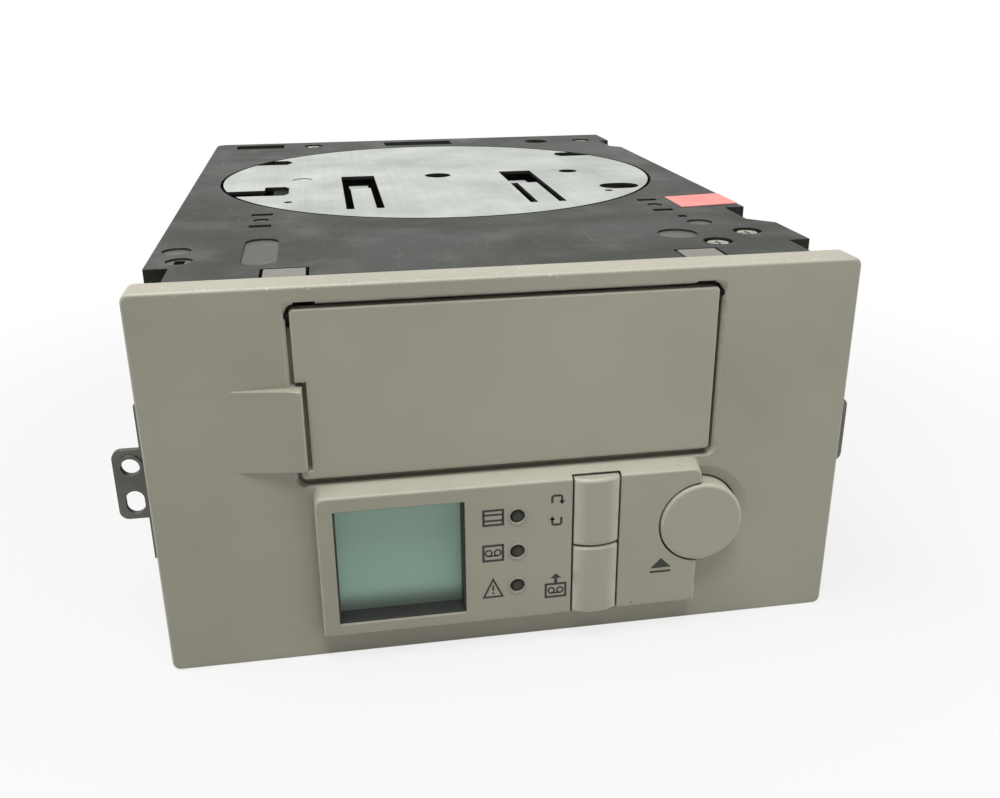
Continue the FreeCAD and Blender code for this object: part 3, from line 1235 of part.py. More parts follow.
# Tape drive: open-topped cast frame with the loading mouth, lid, head drum, capstan and reel tables
DRIVE_X = "(drive_w/2)"
drive = Body("drive_frame")
drive.pad("XY", ("drive_z", DRIVE_TOP), rect(("-" + DRIVE_X, DRIVE_X), ("drive_y", "drive_end")))
drive.pocket("XY", (DRIVE_FLOOR, DRIVE_TOP),
             rect(("drive_wall - " + DRIVE_X, DRIVE_X + " - drive_wall"),
                  ("drive_y + drive_wall", "drive_end - drive_wall")))
drive.pocket("XZ", ("drive_y - 1", "drive_y + drive_wall + 1"),
             rect(("-mouth_w/2", "mouth_w/2"), ("mouth_z", "mouth_z + mouth_h")))
drive.pad("XY", (DRIVE_FLOOR, "reel_top - 2*fit_gap"),
          ("circle", "-reel_x", "reel_y", "reel_pin"), ("circle", "reel_x", "reel_y", "reel_pin"))
drive.pocket("XY", ("drive_z", DRIVE_FLOOR), ("circle", "capstan_x", "capstan_y", "capstan_r + run_gap"))
finish(box("drive_lid", ("-" + DRIVE_X, DRIVE_X), ("drive_y", "drive_end"),
           (DRIVE_TOP, DRIVE_TOP + " + sheet/2")), "drive_cover")
finish(fuse("drum_base_solid", [
    rod("drum_lower", "z", ("0", "drum_y", DRIVE_FLOOR), "drum_r", "drum_split"),
    rod("drum_axle_rod", "z", ("0", "drum_y", DRIVE_FLOOR), "drum_axle", "drum_top")]), "drum_base")
finish(cut("drum_solid", rod("drum_upper", "z", ("0", "drum_y", "drum_split + fit_gap"), "drum_r",
                             "drum_top"),
           [rod("drum_bore", "z", ("0", "drum_y", "0"), "drum_axle + run_gap", "case_h")]), "head_drum")
finish(fuse("capstan_solid", [
    rod("capstan_shaft", "z", ("capstan_x", "capstan_y", "drive_z + fit_gap"), "capstan_r", "post_top"),
    rod("capstan_wheel", "z", ("capstan_x", "capstan_y", DRIVE_FLOOR + " + fit_gap"), "flywheel_r",
        DRIVE_FLOOR + " + flywheel_t")]), "capstan")
for name, sign in (("supply", "-"), ("takeup", "")):
    plate = rod(name + "_plate", "z", (sign + "reel_x", "reel_y", DRIVE_FLOOR + " + fit_gap"), "reel_r",
                DRIVE_FLOOR + " + reel_t")
    spigot = rod(name + "_spigot", "z", (sign + "reel_x", "reel_y", DRIVE_FLOOR + " + reel_t/2"),
                 "spigot_r", "reel_top")
    bore = rod(name + "_bore", "z", (sign + "reel_x", "reel_y", "0"), "reel_pin + run_gap",
               "reel_top - fit_gap")
    finish(cut(name + "_table", fuse(name + "_joined", [plate, spigot]), [bore]), name + "_reel_table")
posts = [rod("post_%s_%d" % (side or "+", i), "z", (side + x, y, DRIVE_FLOOR), "guide_post_r", "post_top")
         for side in ("-", "") for i, (x, y) in enumerate((("post_x", "post_y"), ("entry_x", "entry_y")))]
finish(group("post_set", posts), "tape_guides")
rails = []
for name, sign in (("left", "-"), ("right", "")):
    leg = ("-%s - sheet" % DRIVE_X, "-" + DRIVE_X) if sign else (DRIVE_X, DRIVE_X + " + sheet")
    foot = ("-%s - foot_w" % DRIVE_X, "-" + DRIVE_X) if sign else (DRIVE_X, DRIVE_X + " + foot_w")
    reach = ("drive_y + foot_in", "drive_end - foot_in")
    rails.append(fuse("rail_" + name, [box("rail_leg_" + name, leg, reach, ("sheet", "sheet + leg_h")),
                                       box("rail_foot_" + name, foot, reach, ("sheet", "2*sheet"))]))
finish(group("rail_pair", rails), "drive_rails")

# Controller board on posts, with the data and power plugs at the rear
MAIN_END = "(case_len - main_in)"
POSTS = [(side + "(main_w/2 - main_in)", y) for side in ("-", "")
         for y in ("main_y + post_in", MAIN_END + " - plug_len")]
main = Body("controller_board")
main.pad("XY", ("main_z", MAIN_TOP), rect(("-main_w/2", "main_w/2"), ("main_y", MAIN_END)))
finish(group("board_post_set", [rod("board_post_%d" % i, "z", (x, y, "sheet"), "post_r", "main_z")
                                for i, (x, y) in enumerate(POSTS)]), "board_posts")
for name, (low, high, tall) in PLUGS.items():
    block = box(name + "_block", (low, high), ("case_len - plug_len", "case_len"),
                (MAIN_TOP, "%s + %s" % (MAIN_TOP, tall)))
    well = box(name + "_well", (low + " + plug_wall", high + " - plug_wall"),
               ("case_len - plug_deep", "case_len + 1"),
               (MAIN_TOP + " + plug_wall", "%s + %s - plug_wall" % (MAIN_TOP, tall)))
    finish(cut(name + "_plug_solid", block, [well]), name + "_connector")

# Screws: cross-recessed heads, sunk in the lid and low along the side walls
PIT_FLOOR = "(case_h - lid_pit_t)"
screws = []
for i, (x, y) in enumerate(TOP_SCREWS):
    head = rod("lid_head_%d" % i, "z", (x, y, PIT_FLOOR), "lid_head_r", PIT_FLOOR + " + lid_head_t")
    shank = rod("lid_shank_%d" % i, "z", (x, y, TAB_UNDER + " - shank_out"), "tap_r",
                PIT_FLOOR + " + lid_head_t/2")
    arms = [(x + " - cross_%s/2" % a, x + " + cross_%s/2" % a, y + " - cross_%s/2" % b,
             y + " + cross_%s/2" % b)
            for a, b in (("w", "t"), ("t", "w"))]
    cross = [box("lid_cross_%d" % i, (left, right), (near, far),
                 (PIT_FLOOR + " + lid_head_t - cross_t", "case_h"))
             for left, right, near, far in arms]
    screws.append(cut("lid_screw_%d" % i, fuse("lid_joined_%d" % i, [head, shank]), cross))
finish(group("lid_screw_set", screws), "top_screws")
screws = []
for sign in ("-", ""):
    for i, (y, z) in enumerate(SIDE_SCREWS + LEG_SCREWS):
        seat = SIDE if i < len(SIDE_SCREWS) else "(case_w/2 + ear_t)"
        head = ("-%s - low_head" % seat, "-" + seat) if sign else (seat, seat + " + low_head")
        shank = ("-%s - low_head/2" % seat, "side_shank - " + SIDE)
        if not sign:
            shank = (SIDE + " - side_shank", seat + " + low_head/2")
        name = "side_%s_%d" % (sign and "left" or "right", i)
        whole = fuse(name, [rod(name + "_head", "x", (head[0], y, z), "head_r", head[1]),
                            rod(name + "_shank", "x", (shank[0], y, z), "screw_r", shank[1])])
        deep = ("-%s - low_head - 1" % seat, "-%s - low_head*0.4" % seat) if sign else (
            seat + " + low_head*0.4", seat + " + low_head + 1")
        cross = [box(name + "_cross", deep, (y + " - cross_%s/2" % a, y + " + cross_%s/2" % a),
                     (z + " - cross_%s/2" % b, z + " + cross_%s/2" % b)) for a, b in (("w", "t"), ("t", "w"))]
        screws.append(cut(name + "_recessed", whole, cross))
finish(group("side_screw_set", screws), "side_screws")

# Plain coloured sticker on the lid
sticker = Body("top_label")
sticker.pad("XY", ("case_h", "case_h + label_t"), [
    (SIDE + " - label_w", "label_y"), (SIDE, "label_y + label_skew"),
    (SIDE, "label_y + label_skew + label_len"), (SIDE + " - label_w", "label_y + label_len")])

# Every piece is checked, then written to its own file
doc.recompute()
broken = [o.Name for o in doc.Objects if "Invalid" in o.State or "Error" in o.State]
if broken:
    raise RuntimeError("not built: %s" % broken)
os.makedirs("parts", exist_ok=True)
for piece in PIECES:
    if piece.Shape.isNull() or not piece.Shape.isValid():
        raise RuntimeError("bad shape: %s" % piece.Label)
    piece.Shape.exportStep("parts/%s.step" % piece.Label)
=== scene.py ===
import bpy
import bmesh
import math
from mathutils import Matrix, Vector


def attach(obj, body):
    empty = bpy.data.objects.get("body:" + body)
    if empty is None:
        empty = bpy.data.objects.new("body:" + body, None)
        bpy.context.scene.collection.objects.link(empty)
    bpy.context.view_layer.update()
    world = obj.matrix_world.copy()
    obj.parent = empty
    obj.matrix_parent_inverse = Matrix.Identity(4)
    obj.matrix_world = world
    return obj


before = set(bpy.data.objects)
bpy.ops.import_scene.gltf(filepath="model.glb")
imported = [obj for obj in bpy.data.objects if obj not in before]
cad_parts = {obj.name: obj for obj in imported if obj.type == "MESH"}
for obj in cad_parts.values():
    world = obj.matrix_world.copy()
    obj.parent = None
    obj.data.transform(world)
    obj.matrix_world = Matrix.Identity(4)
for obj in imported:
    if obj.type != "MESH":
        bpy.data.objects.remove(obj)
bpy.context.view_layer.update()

# Setting: the loader stands under a long overhead softbox, with a small fill lamp at its right
# and a weak even room light. The camera stands where the photograph was taken from, a little
# to the left of the middle and looking down at the front.


def colour(code):
    """An sRGB hex colour as the linear values that a shader socket takes."""
    parts = [int(code[i:i + 2], 16)/255 for i in (1, 3, 5)]
    return tuple(p/12.92 if p <= 0.04045 else ((p + 0.055)/1.055)**2.4 for p in parts) + (1.0,)


def add(tree, kind, settings=None, links=None):
    """Add a node, set its properties and unlinked sockets, and link the rest."""
    made = tree.nodes.new(kind)
    for name, value in (settings or {}).items():
        if isinstance(name, str) and name in made.bl_rna.properties:
            setattr(made, name, value)
        else:
            made.inputs[name].default_value = value
    for name, socket in (links or {}).items():
        tree.links.new(socket, made.inputs[name])
    return made


def seen_by_eye(tree):
    """1 for rays from the eye, straight or by way of metal or glass; 0 for rays that only give light."""
    ray = add(tree, "ShaderNodeLightPath")
    seen = add(tree, "ShaderNodeMath", {"operation": "MAXIMUM"},
               {0: ray.outputs["Is Camera Ray"], 1: ray.outputs["Is Transmission Ray"]})
    seen = add(tree, "ShaderNodeMath", {"operation": "MAXIMUM"},
               {0: seen.outputs[0], 1: ray.outputs["Is Glossy Ray"]})
    return seen.outputs[0]


scene = bpy.context.scene
scene.view_settings.view_transform = "Standard"
lens = bpy.data.cameras.new("photo_camera")
lens.sensor_width = 36
lens.lens = 36.68
lens.clip_start = 0.01
camera = bpy.data.objects.new("photo_camera", lens)
camera.location = (-0.03520, -0.29464, 0.13461)
camera.rotation_euler = [math.radians(a) for a in (68.33, 0.33, -9.83)]
scene.collection.objects.link(camera)
scene.camera = camera

ROOM_LIGHT = 0.15
room = bpy.data.worlds.new("even_room_light")
room.use_nodes = True
tree = room.node_tree
tree.nodes.clear()
strength = add(tree, "ShaderNodeMapRange", {"To Min": ROOM_LIGHT, "To Max": 1.0},
               {"Value": seen_by_eye(tree)})
glow = add(tree, "ShaderNodeBackground", {"Color": colour("#FFFFFF")},
           {"Strength": strength.outputs[0]})
add(tree, "ShaderNodeOutputWorld", links={"Surface": glow.outputs[0]})
scene.world = room

for name, power, wide, deep, place, aim in (
        ("overhead_softbox", 8.7, 0.8, 0.20, (-0.14, -0.21, 0.80), (0, -0.08, 0.05)),
        ("right_fill", 0.25, 0.25, 0.25, (0.32, -0.38, 0.16), (0.03, -0.10, 0.04))):
    lamp = bpy.data.lights.new(name, "AREA")
    lamp.energy = power
    lamp.shape = "RECTANGLE"
    lamp.size = wide
    lamp.size_y = deep
    holder = bpy.data.objects.new(name, lamp)
    holder.location = place
    holder.rotation_euler = (Vector(aim) - Vector(place)).to_track_quat("-Z", "Y").to_euler()
    scene.collection.objects.link(holder)

# Table: matt white laminate that keeps the loader's shadow. Away from the loader the eye sees
# only white, as on a studio sweep, and that white adds no light to the loader.
TABLE, SWEEP_START, SWEEP_END = 20, 0.10, 0.26
bpy.ops.object.select_all(action="DESELECT")
bpy.ops.mesh.primitive_plane_add(size=TABLE)
floor = bpy.context.object
floor.name = "pale_table"
table = bpy.data.materials.new("matt_white_laminate")
table.use_nodes = True
tree = table.node_tree
tree.nodes.clear()
where = add(tree, "ShaderNodeTexCoord")
away = add(tree, "ShaderNodeVectorMath", {"operation": "LENGTH"}, {0: where.outputs["Object"]})
sweep = add(tree, "ShaderNodeMapRange",
            {"interpolation_type": "SMOOTHSTEP", "From Min": SWEEP_START, "From Max": SWEEP_END,
             "To Min": 0.80},
            {"Value": away.outputs["Value"]})
share = add(tree, "ShaderNodeMath", {"operation": "MULTIPLY"},
            {0: sweep.outputs[0], 1: seen_by_eye(tree)})
top = add(tree, "ShaderNodeBsdfDiffuse", {"Color": colour("#BDBDBB")})
white = add(tree, "ShaderNodeEmission", {"Color": colour("#FFFFFF"), "Strength": 1.0})
both = add(tree, "ShaderNodeMixShader", links={0: share.outputs[0], 1: top.outputs[0], 2: white.outputs[0]})
add(tree, "ShaderNodeOutputMaterial", links={"Surface": both.outputs[0]})
floor.data.materials.append(table)

# Chassis: the pan, rear panel, deck, drive rails and drive lid are folded from zinc-plated
# steel sheet and screwed together. Plating gives a soft grey shine with cloudy patches and
# faint rolling lines along the sheet, drawn coarser than they are so that they show.


def start_material(name):
    """An empty material, its node tree and the object coordinates that its patterns read."""
    made = bpy.data.materials.new(name)
    made.use_nodes = True
    made.node_tree.nodes.clear()
    place = add(made.node_tree, "ShaderNodeTexCoord")
    return made, made.node_tree, place.outputs["Object"]


def dress(material, *names):
    """Give CAD nodes that are shown as they are a finish of their own."""
    for name in names:
        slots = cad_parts[name].data.materials
        slots.clear()
        slots.append(material)


# Blender's Mix node has its colour sockets at these places, under names that others share.
COLOUR_A, COLOUR_B, COLOUR_OUT = 6, 7, 2


def plated_steel(name, pale, deep, rough, line_mm, cut=None):
    """Plated sheet: cloudy tone, rolling lines along Y, a wavy shine; cut gives dark cut edges and a
    painted shade on folds that face back.
    """
    made, tree, place = start_material(name)
    cloud = add(tree, "ShaderNodeTexNoise", {"Scale": 1000/18, "Detail": 4.0}, {"Vector": place})
    rolled = add(tree, "ShaderNodeMapping",
                 {"Scale": (1000/line_mm, 1000/(60*line_mm), 1000/line_mm)}, {"Vector": place})
    lines = add(tree, "ShaderNodeTexNoise", {"Scale": 1.0, "Detail": 2.0}, {"Vector": rolled.outputs[0]})
    mottle = add(tree, "ShaderNodeMath", {"operation": "MULTIPLY_ADD", 1: 0.35},
                 {0: lines.outputs["Fac"], 2: cloud.outputs["Fac"]})
    tone = add(tree, "ShaderNodeMapRange", {"From Min": 0.40, "From Max": 0.95},
               {"Value": mottle.outputs[0]})
    skin = add(tree, "ShaderNodeMix",
               {"data_type": "RGBA", COLOUR_A: colour(deep), COLOUR_B: colour(pale)},
               {"Factor": tone.outputs[0]})
    if cut:
        form = add(tree, "ShaderNodeNewGeometry")
        facing = add(tree, "ShaderNodeSeparateXYZ", links={0: form.outputs["True Normal"]})
        # Painted shade: faces that turn towards the back, such as the tongues' folds, are mixed to a darker
        # grey.
        fold_shade = add(tree, "ShaderNodeMapRange", {"From Min": 0.06, "From Max": 0.15, "To Max": 0.7},
                   {"Value": facing.outputs["Y"]})
        skin = add(tree, "ShaderNodeMix", {"data_type": "RGBA", COLOUR_B: colour("#8A8C88")},
                   {"Factor": fold_shade.outputs[0], COLOUR_A: skin.outputs[COLOUR_OUT]})
        slant = add(tree, "ShaderNodeMath", {"operation": "ABSOLUTE"}, {0: facing.outputs["Z"]})
        sheared = add(tree, "ShaderNodeMapRange", {"From Min": 0.6, "From Max": 0.2},
                      {"Value": slant.outputs[0]})
        skin = add(tree, "ShaderNodeMix", {"data_type": "RGBA", COLOUR_B: colour(cut)},
                   {"Factor": sheared.outputs[0], COLOUR_A: skin.outputs[COLOUR_OUT]})
    gloss = add(tree, "ShaderNodeMapRange", {"To Min": rough - 0.08, "To Max": rough + 0.10},
                {"Value": cloud.outputs["Fac"]})
    edge = add(tree, "ShaderNodeBevel", {"samples": 4, "Radius": 0.0002})
    wave = add(tree, "ShaderNodeBump", {"Strength": 0.12, "Distance": 0.00005},
               {"Height": lines.outputs["Fac"], "Normal": edge.outputs[0]})
    shade = add(tree, "ShaderNodeBsdfPrincipled", {"Metallic": 1.0},
                {"Base Color": skin.outputs[COLOUR_OUT], "Roughness": gloss.outputs[0],
                 "Normal": wave.outputs[0]})
    add(tree, "ShaderNodeOutputMaterial", links={"Surface": shade.outputs[0]})
    return made


zinc = plated_steel("zinc_plated_sheet_steel", "#AEB0AD", "#999B98", 0.42, 0.8)
dress(zinc, "chassis_pan", "rear_panel", "mid_deck", "drive_rails", "drive_cover")

# Ears: two bent steel brackets screwed to the walls, each with a round hole in a pressed ring
# and an oblong hole. Their plating has dulled to a dark grey.
dull = plated_steel("dulled_plated_steel", "#6E6F68", "#51524B", 0.46, 0.6)
dress(dull, "ear_bracket_left", "ear_bracket_right")

# Screws and posts: turned steel with a passivated skin, a little yellow, cloudy in tone and
# brighter than the sheet round it.
passivated = plated_steel("passivated_screw_steel", "#C9C6BA", "#9D998A", 0.34, 0.4)
dress(passivated, "panel_screws", "board_posts", "top_screws", "side_screws")

# Tape drive: a die-cast frame carries the drum base, guides and two reel tables. Castings have
# a grainy matt skin, the drum is fine turned aluminium, and the pins are ground steel.


def cast_metal(name, pale, deep, rough, grain_mm):
    """Cast skin: a grainy surface whose tone drifts slowly and whose low spots are darker."""
    made, tree, place = start_material(name)
    drift = add(tree, "ShaderNodeTexNoise", {"Scale": 1000/25, "Detail": 3.0}, {"Vector": place})
    grain = add(tree, "ShaderNodeTexNoise", {"Scale": 1000/grain_mm, "Detail": 4.0, "Roughness": 0.7},
                {"Vector": place})
    mottle = add(tree, "ShaderNodeMath", {"operation": "MULTIPLY_ADD", 1: 0.5},
                 {0: grain.outputs["Fac"], 2: drift.outputs["Fac"]})
    tone = add(tree, "ShaderNodeMapRange", {"From Min": 0.45, "From Max": 1.05},
               {"Value": mottle.outputs[0]})
    skin = add(tree, "ShaderNodeMix",
               {"data_type": "RGBA", COLOUR_A: colour(deep), COLOUR_B: colour(pale)},
               {"Factor": tone.outputs[0]})
    gloss = add(tree, "ShaderNodeMapRange", {"To Min": rough - 0.1, "To Max": rough + 0.1},
                {"Value": grain.outputs["Fac"]})
    bumps = add(tree, "ShaderNodeBump", {"Strength": 0.35, "Distance": 0.0001},
                {"Height": grain.outputs["Fac"]})
    shade = add(tree, "ShaderNodeBsdfPrincipled", {"Metallic": 1.0},
                {"Base Color": skin.outputs[COLOUR_OUT], "Roughness": gloss.outputs[0],
                 "Normal": bumps.outputs[0]})
    add(tree, "ShaderNodeOutputMaterial", links={"Surface": shade.outputs[0]})
    return made


def turned_metal(name, pale, deep, rough, pitch_mm):
    """Turned or ground metal: fine rings square to the axis, which stands along Z."""
    made, tree, place = start_material(name)
    flat = add(tree, "ShaderNodeMapping", {"Scale": (1000/40, 1000/40, 1000/pitch_mm)}, {"Vector": place})
    rings = add(tree, "ShaderNodeTexNoise", {"Scale": 1.0, "Detail": 3.0}, {"Vector": flat.outputs[0]})
    skin = add(tree, "ShaderNodeMix",
               {"data_type": "RGBA", COLOUR_A: colour(deep), COLOUR_B: colour(pale)},
               {"Factor": rings.outputs["Fac"]})
    gloss = add(tree, "ShaderNodeMapRange", {"To Min": rough - 0.06, "To Max": rough + 0.08},
                {"Value": rings.outputs["Fac"]})
    ridge = add(tree, "ShaderNodeBump", {"Strength": 0.15, "Distance": 0.00003},
                {"Height": rings.outputs["Fac"]})
    shade = add(tree, "ShaderNodeBsdfPrincipled", {"Metallic": 1.0},
                {"Base Color": skin.outputs[COLOUR_OUT], "Roughness": gloss.outputs[0],
                 "Normal": ridge.outputs[0]})
    add(tree, "ShaderNodeOutputMaterial", links={"Surface": shade.outputs[0]})
    return made


def moulded(name, pale, deep, rough, shine=1.49):
    """Moulded plastic: a slight flow pattern in the tone, a fine skin and softened edges."""
    made, tree, place = start_material(name)
    flow = add(tree, "ShaderNodeTexNoise", {"Scale": 1000/14, "Detail": 3.0, "Distortion": 0.8},
               {"Vector": place})
    skin = add(tree, "ShaderNodeMix",
               {"data_type": "RGBA", COLOUR_A: colour(deep), COLOUR_B: colour(pale)},
               {"Factor": flow.outputs["Fac"]})
    gloss = add(tree, "ShaderNodeMapRange", {"To Min": rough - 0.08, "To Max": rough + 0.08},
                {"Value": flow.outputs["Fac"]})
    # The real skin is too fine to show, so it is drawn at 0.5 mm.
    grain = add(tree, "ShaderNodeTexNoise", {"Scale": 1000/0.5, "Detail": 1.0}, {"Vector": place})
    edge = add(tree, "ShaderNodeBevel", {"samples": 4, "Radius": 0.0002})
    spark = add(tree, "ShaderNodeBump", {"Strength": 0.08, "Distance": 0.00004},
                {"Height": grain.outputs["Fac"], "Normal": edge.outputs[0]})
    shade = add(tree, "ShaderNodeBsdfPrincipled", {"IOR": shine},
                {"Base Color": skin.outputs[COLOUR_OUT], "Roughness": gloss.outputs[0],
                 "Normal": spark.outputs[0]})
    add(tree, "ShaderNodeOutputMaterial", links={"Surface": shade.outputs[0]})
    return made


dress(cast_metal("die_cast_aluminium", "#A9ABA9", "#7F8180", 0.52, 0.7), "drive_frame", "drum_base")
dress(turned_metal("fine_turned_aluminium", "#D5D7D8", "#B4B7B9", 0.24, 0.10), "head_drum")
ground = turned_metal("ground_steel", "#D0D1CF", "#A9ABAA", 0.20, 0.25)
dress(ground, "capstan", "tape_guides")
black = moulded("black_glass_filled_nylon", "#232322", "#191918", 0.45)
dress(black, "supply_reel_table", "takeup_reel_table")

# Cartridge lift: a nylon carriage on two ground rods, driven by a two-start screw in bronze
# bushes, with an acetal pinion on a small motor and an acetal picker finger.
dress(black, "lift_carriage")
dress(ground, "guide_rods", "lift_screw")
bronze = cast_metal("sintered_bronze", "#B98D55", "#8C6638", 0.40, 0.35)
dress(bronze, "lift_nut", "carriage_bushes", "screw_bushes")
acetal = moulded("ivory_acetal", "#E2DFD2", "#D3CFBF", 0.38)
dress(acetal, "lift_pinion", "picker")
nickel = plated_steel("nickel_plated_motor_can", "#BFBFBA", "#9C9C97", 0.30, 0.5)
dress(nickel, "lift_motor")

# Circuit boards: glass-fibre boards under a green mask. Copper tracks under the mask show as
# slightly raised paler lines on a 2.54 mm grid, with round pads between them.
mask, tree, place = start_material("green_solder_mask")
weave = add(tree, "ShaderNodeTexNoise", {"Scale": 1000/1.2, "Detail": 2.0}, {"Vector": place})
tracks = add(tree, "ShaderNodeTexBrick",
             {"Scale": 1000/2.54, "Mortar Size": 0.10, "Brick Width": 3.0, "Row Height": 0.5,
              "Color1": (0, 0, 0, 1), "Color2": (0, 0, 0, 1), "Mortar": (1, 1, 1, 1)}, {"Vector": place})
pads = add(tree, "ShaderNodeTexVoronoi", {"Scale": 1000/2.54, "Randomness": 0.15}, {"Vector": place})
pad = add(tree, "ShaderNodeMapRange", {"From Min": 0.17, "From Max": 0.20, "To Min": 1.0, "To Max": 0.0},
          {"Value": pads.outputs["Distance"]})
field = add(tree, "ShaderNodeMix",
            {"data_type": "RGBA", COLOUR_A: colour("#0E3D27"), COLOUR_B: colour("#2A6A48")},
            {"Factor": tracks.outputs["Color"]})
skin = add(tree, "ShaderNodeMix", {"data_type": "RGBA", COLOUR_B: colour("#B7B39A")},
           {"Factor": pad.outputs[0], COLOUR_A: field.outputs[COLOUR_OUT]})
raised = add(tree, "ShaderNodeBump", {"Strength": 0.25, "Distance": 0.00008},
             {"Height": tracks.outputs["Fac"]})
gloss = add(tree, "ShaderNodeMapRange", {"To Min": 0.22, "To Max": 0.40}, {"Value": weave.outputs["Fac"]})
shade = add(tree, "ShaderNodeBsdfPrincipled", {"IOR": 1.55},
            {"Base Color": skin.outputs[COLOUR_OUT], "Roughness": gloss.outputs[0],
             "Normal": raised.outputs[0]})
add(tree, "ShaderNodeOutputMaterial", links={"Surface": shade.outputs[0]})
dress(mask, "panel_board", "controller_board")

# Flat cable: tinned strips about 2 mm apart between two clear films, which show as grey
# stripes along a yellowed web.
film, tree, place = start_material("polyester_flat_cable")
STRIP_MM, WAVES_PER_UNIT = 1.974, 20/(2*math.pi)
strips = add(tree, "ShaderNodeTexWave",
             {"bands_direction": "X", "Scale": 1000/(WAVES_PER_UNIT*STRIP_MM)}, {"Vector": place})
strip = add(tree, "ShaderNodeMapRange", {"From Min": 0.45, "From Max": 0.60},
            {"Value": strips.outputs["Fac"]})
skin = add(tree, "ShaderNodeMix",
           {"data_type": "RGBA", COLOUR_A: colour("#D8D3BE"), COLOUR_B: colour("#9FA09C")},
           {"Factor": strip.outputs[0]})
shade = add(tree, "ShaderNodeBsdfPrincipled", {"Roughness": 0.28, "IOR": 1.57},
            {"Base Color": skin.outputs[COLOUR_OUT]})
add(tree, "ShaderNodeOutputMaterial", links={"Surface": shade.outputs[0]})
dress(film, "panel_cable")

# Connectors: a black shrouded data connector and an ivory nylon power connector stand in the
# rear panel, and two nylon headers hold the flat cable.
dress(black, "data_connector")
nylon = moulded("ivory_nylon", "#E4E0CF", "#D6D1BD", 0.42)
dress(nylon, "power_connector", "cable_headers")

# Connector pins: two rows of 34 square data pins on a 1.5 mm pitch and four round power pins,
# gold-flashed bronze, pressed into the connector floors. One pin is drawn and repeated.
gold = plated_steel("gold_flashed_bronze", "#D9B566", "#B98F42", 0.26, 0.3)


def pick_ends(piece):
    """In edit mode, select only the faces that look backwards."""
    bpy.ops.mesh.select_mode(type="FACE")
    bpy.ops.mesh.select_all(action="DESELECT")
    shape = bmesh.from_edit_mesh(piece.data)
    for face in shape.faces:
        face.select_set(face.normal.y > 0.9)
    bmesh.update_edit_mesh(piece.data)


def repeat(piece, count, step):
    """Repeat a piece along a line as real geometry."""
    line = piece.modifiers.new("row", "ARRAY")
    line.count = count
    line.use_relative_offset = False
    line.use_constant_offset = True
    line.constant_offset_displace = step
    bpy.ops.object.modifier_apply(modifier="row")


def fit(piece, name, material):
    """Name and dress a modelled piece and fix it to the chassis."""
    bpy.ops.object.transform_apply(location=True, rotation=True, scale=True)
    piece.name = piece.data.name = name
    piece.data.materials.clear()
    piece.data.materials.append(material)
    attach(piece, "chassis")


PIN_FOOT = 0.1002
DATA_X, DATA_Z, DATA_WIDE, DATA_LONG = -0.03775, 0.0088, 0.0006, 0.0052
DATA_COLUMNS, DATA_PITCH, DATA_ROWS, DATA_ROW_PITCH = 34, 0.0015, 2, 0.0020
POWER_X, POWER_Z, POWER_RADIUS, POWER_LONG = 0.02538, 0.0108, 0.00105, 0.0060
POWER_COUNT, POWER_PITCH = 4, 0.00508
bpy.ops.object.select_all(action="DESELECT")
bpy.ops.mesh.primitive_cube_add(size=1, location=(DATA_X, PIN_FOOT + DATA_LONG/2, DATA_Z))
data_pins = bpy.context.object
data_pins.scale = (DATA_WIDE, DATA_LONG, DATA_WIDE)
bpy.ops.object.transform_apply(location=True, rotation=True, scale=True)
bpy.ops.object.mode_set(mode="EDIT")
pick_ends(data_pins)
bpy.ops.mesh.inset(thickness=0.00018, depth=0.0005)
bpy.ops.object.mode_set(mode="OBJECT")
repeat(data_pins, DATA_COLUMNS, (DATA_PITCH, 0, 0))
repeat(data_pins, DATA_ROWS, (0, 0, DATA_ROW_PITCH))
fit(data_pins, "data_pins", gold)

bpy.ops.object.select_all(action="DESELECT")
bpy.ops.mesh.primitive_cylinder_add(vertices=24, radius=POWER_RADIUS, depth=POWER_LONG,
                                    location=(POWER_X, PIN_FOOT + POWER_LONG/2, POWER_Z),
                                    rotation=(math.radians(-90), 0, 0))
power_pins = bpy.context.object
bpy.ops.object.transform_apply(location=True, rotation=True, scale=True)
bpy.ops.object.mode_set(mode="EDIT")
pick_ends(power_pins)
bpy.ops.mesh.inset(thickness=0.00025, depth=0.00025)
bpy.ops.mesh.inset(thickness=0.00035, depth=0.00015)
bpy.ops.object.mode_set(mode="OBJECT")
repeat(power_pins, POWER_COUNT, (POWER_PITCH, 0, 0))
bpy.ops.object.shade_smooth_by_angle(angle=math.radians(40))
fit(power_pins, "power_pins", gold)

# Turntable works: the ribbed base and its gear turn on a steel spindle in a bronze bush, moved
# by a motor and pinion. Two folded guides, painted matt black, hold the magazine.
charcoal = moulded("charcoal_glass_filled_polycarbonate", "#2B2C2B", "#222322", 0.45)
dress(charcoal, "turntable_base")
dress(acetal, "turntable_gear", "turntable_pinion")
dress(bronze, "spindle_bush")
dress(ground, "turntable_spindle")
dress(nickel, "turntable_motor")
painted = moulded("matt_black_painted_steel", "#1E1E1D", "#161615", 0.75, 1.22)
dress(painted, "magazine_guides")

# Turntable disc: a flat zinc-plated steel plate with pressed spring tongues and punched holes,
# held to the base. Its top has a dull satin grain and cloudy plating, and its cut edges are dark.
# The tongues' slopes, which face back, carry a painted shade.
satin = plated_steel("satin_plated_disc_steel", "#BBBEB8", "#A1A5A1", 0.64, 0.9, "#2E2F2D")
dress(satin, "turntable_disc")

# Lid: one dark glass-filled moulding round the turntable, held by four screws. Its top has a
# half-gloss skin with hand smears and scratches, and pale dust that lies thickest in the
# recesses.
LID_TOP = 0.0825


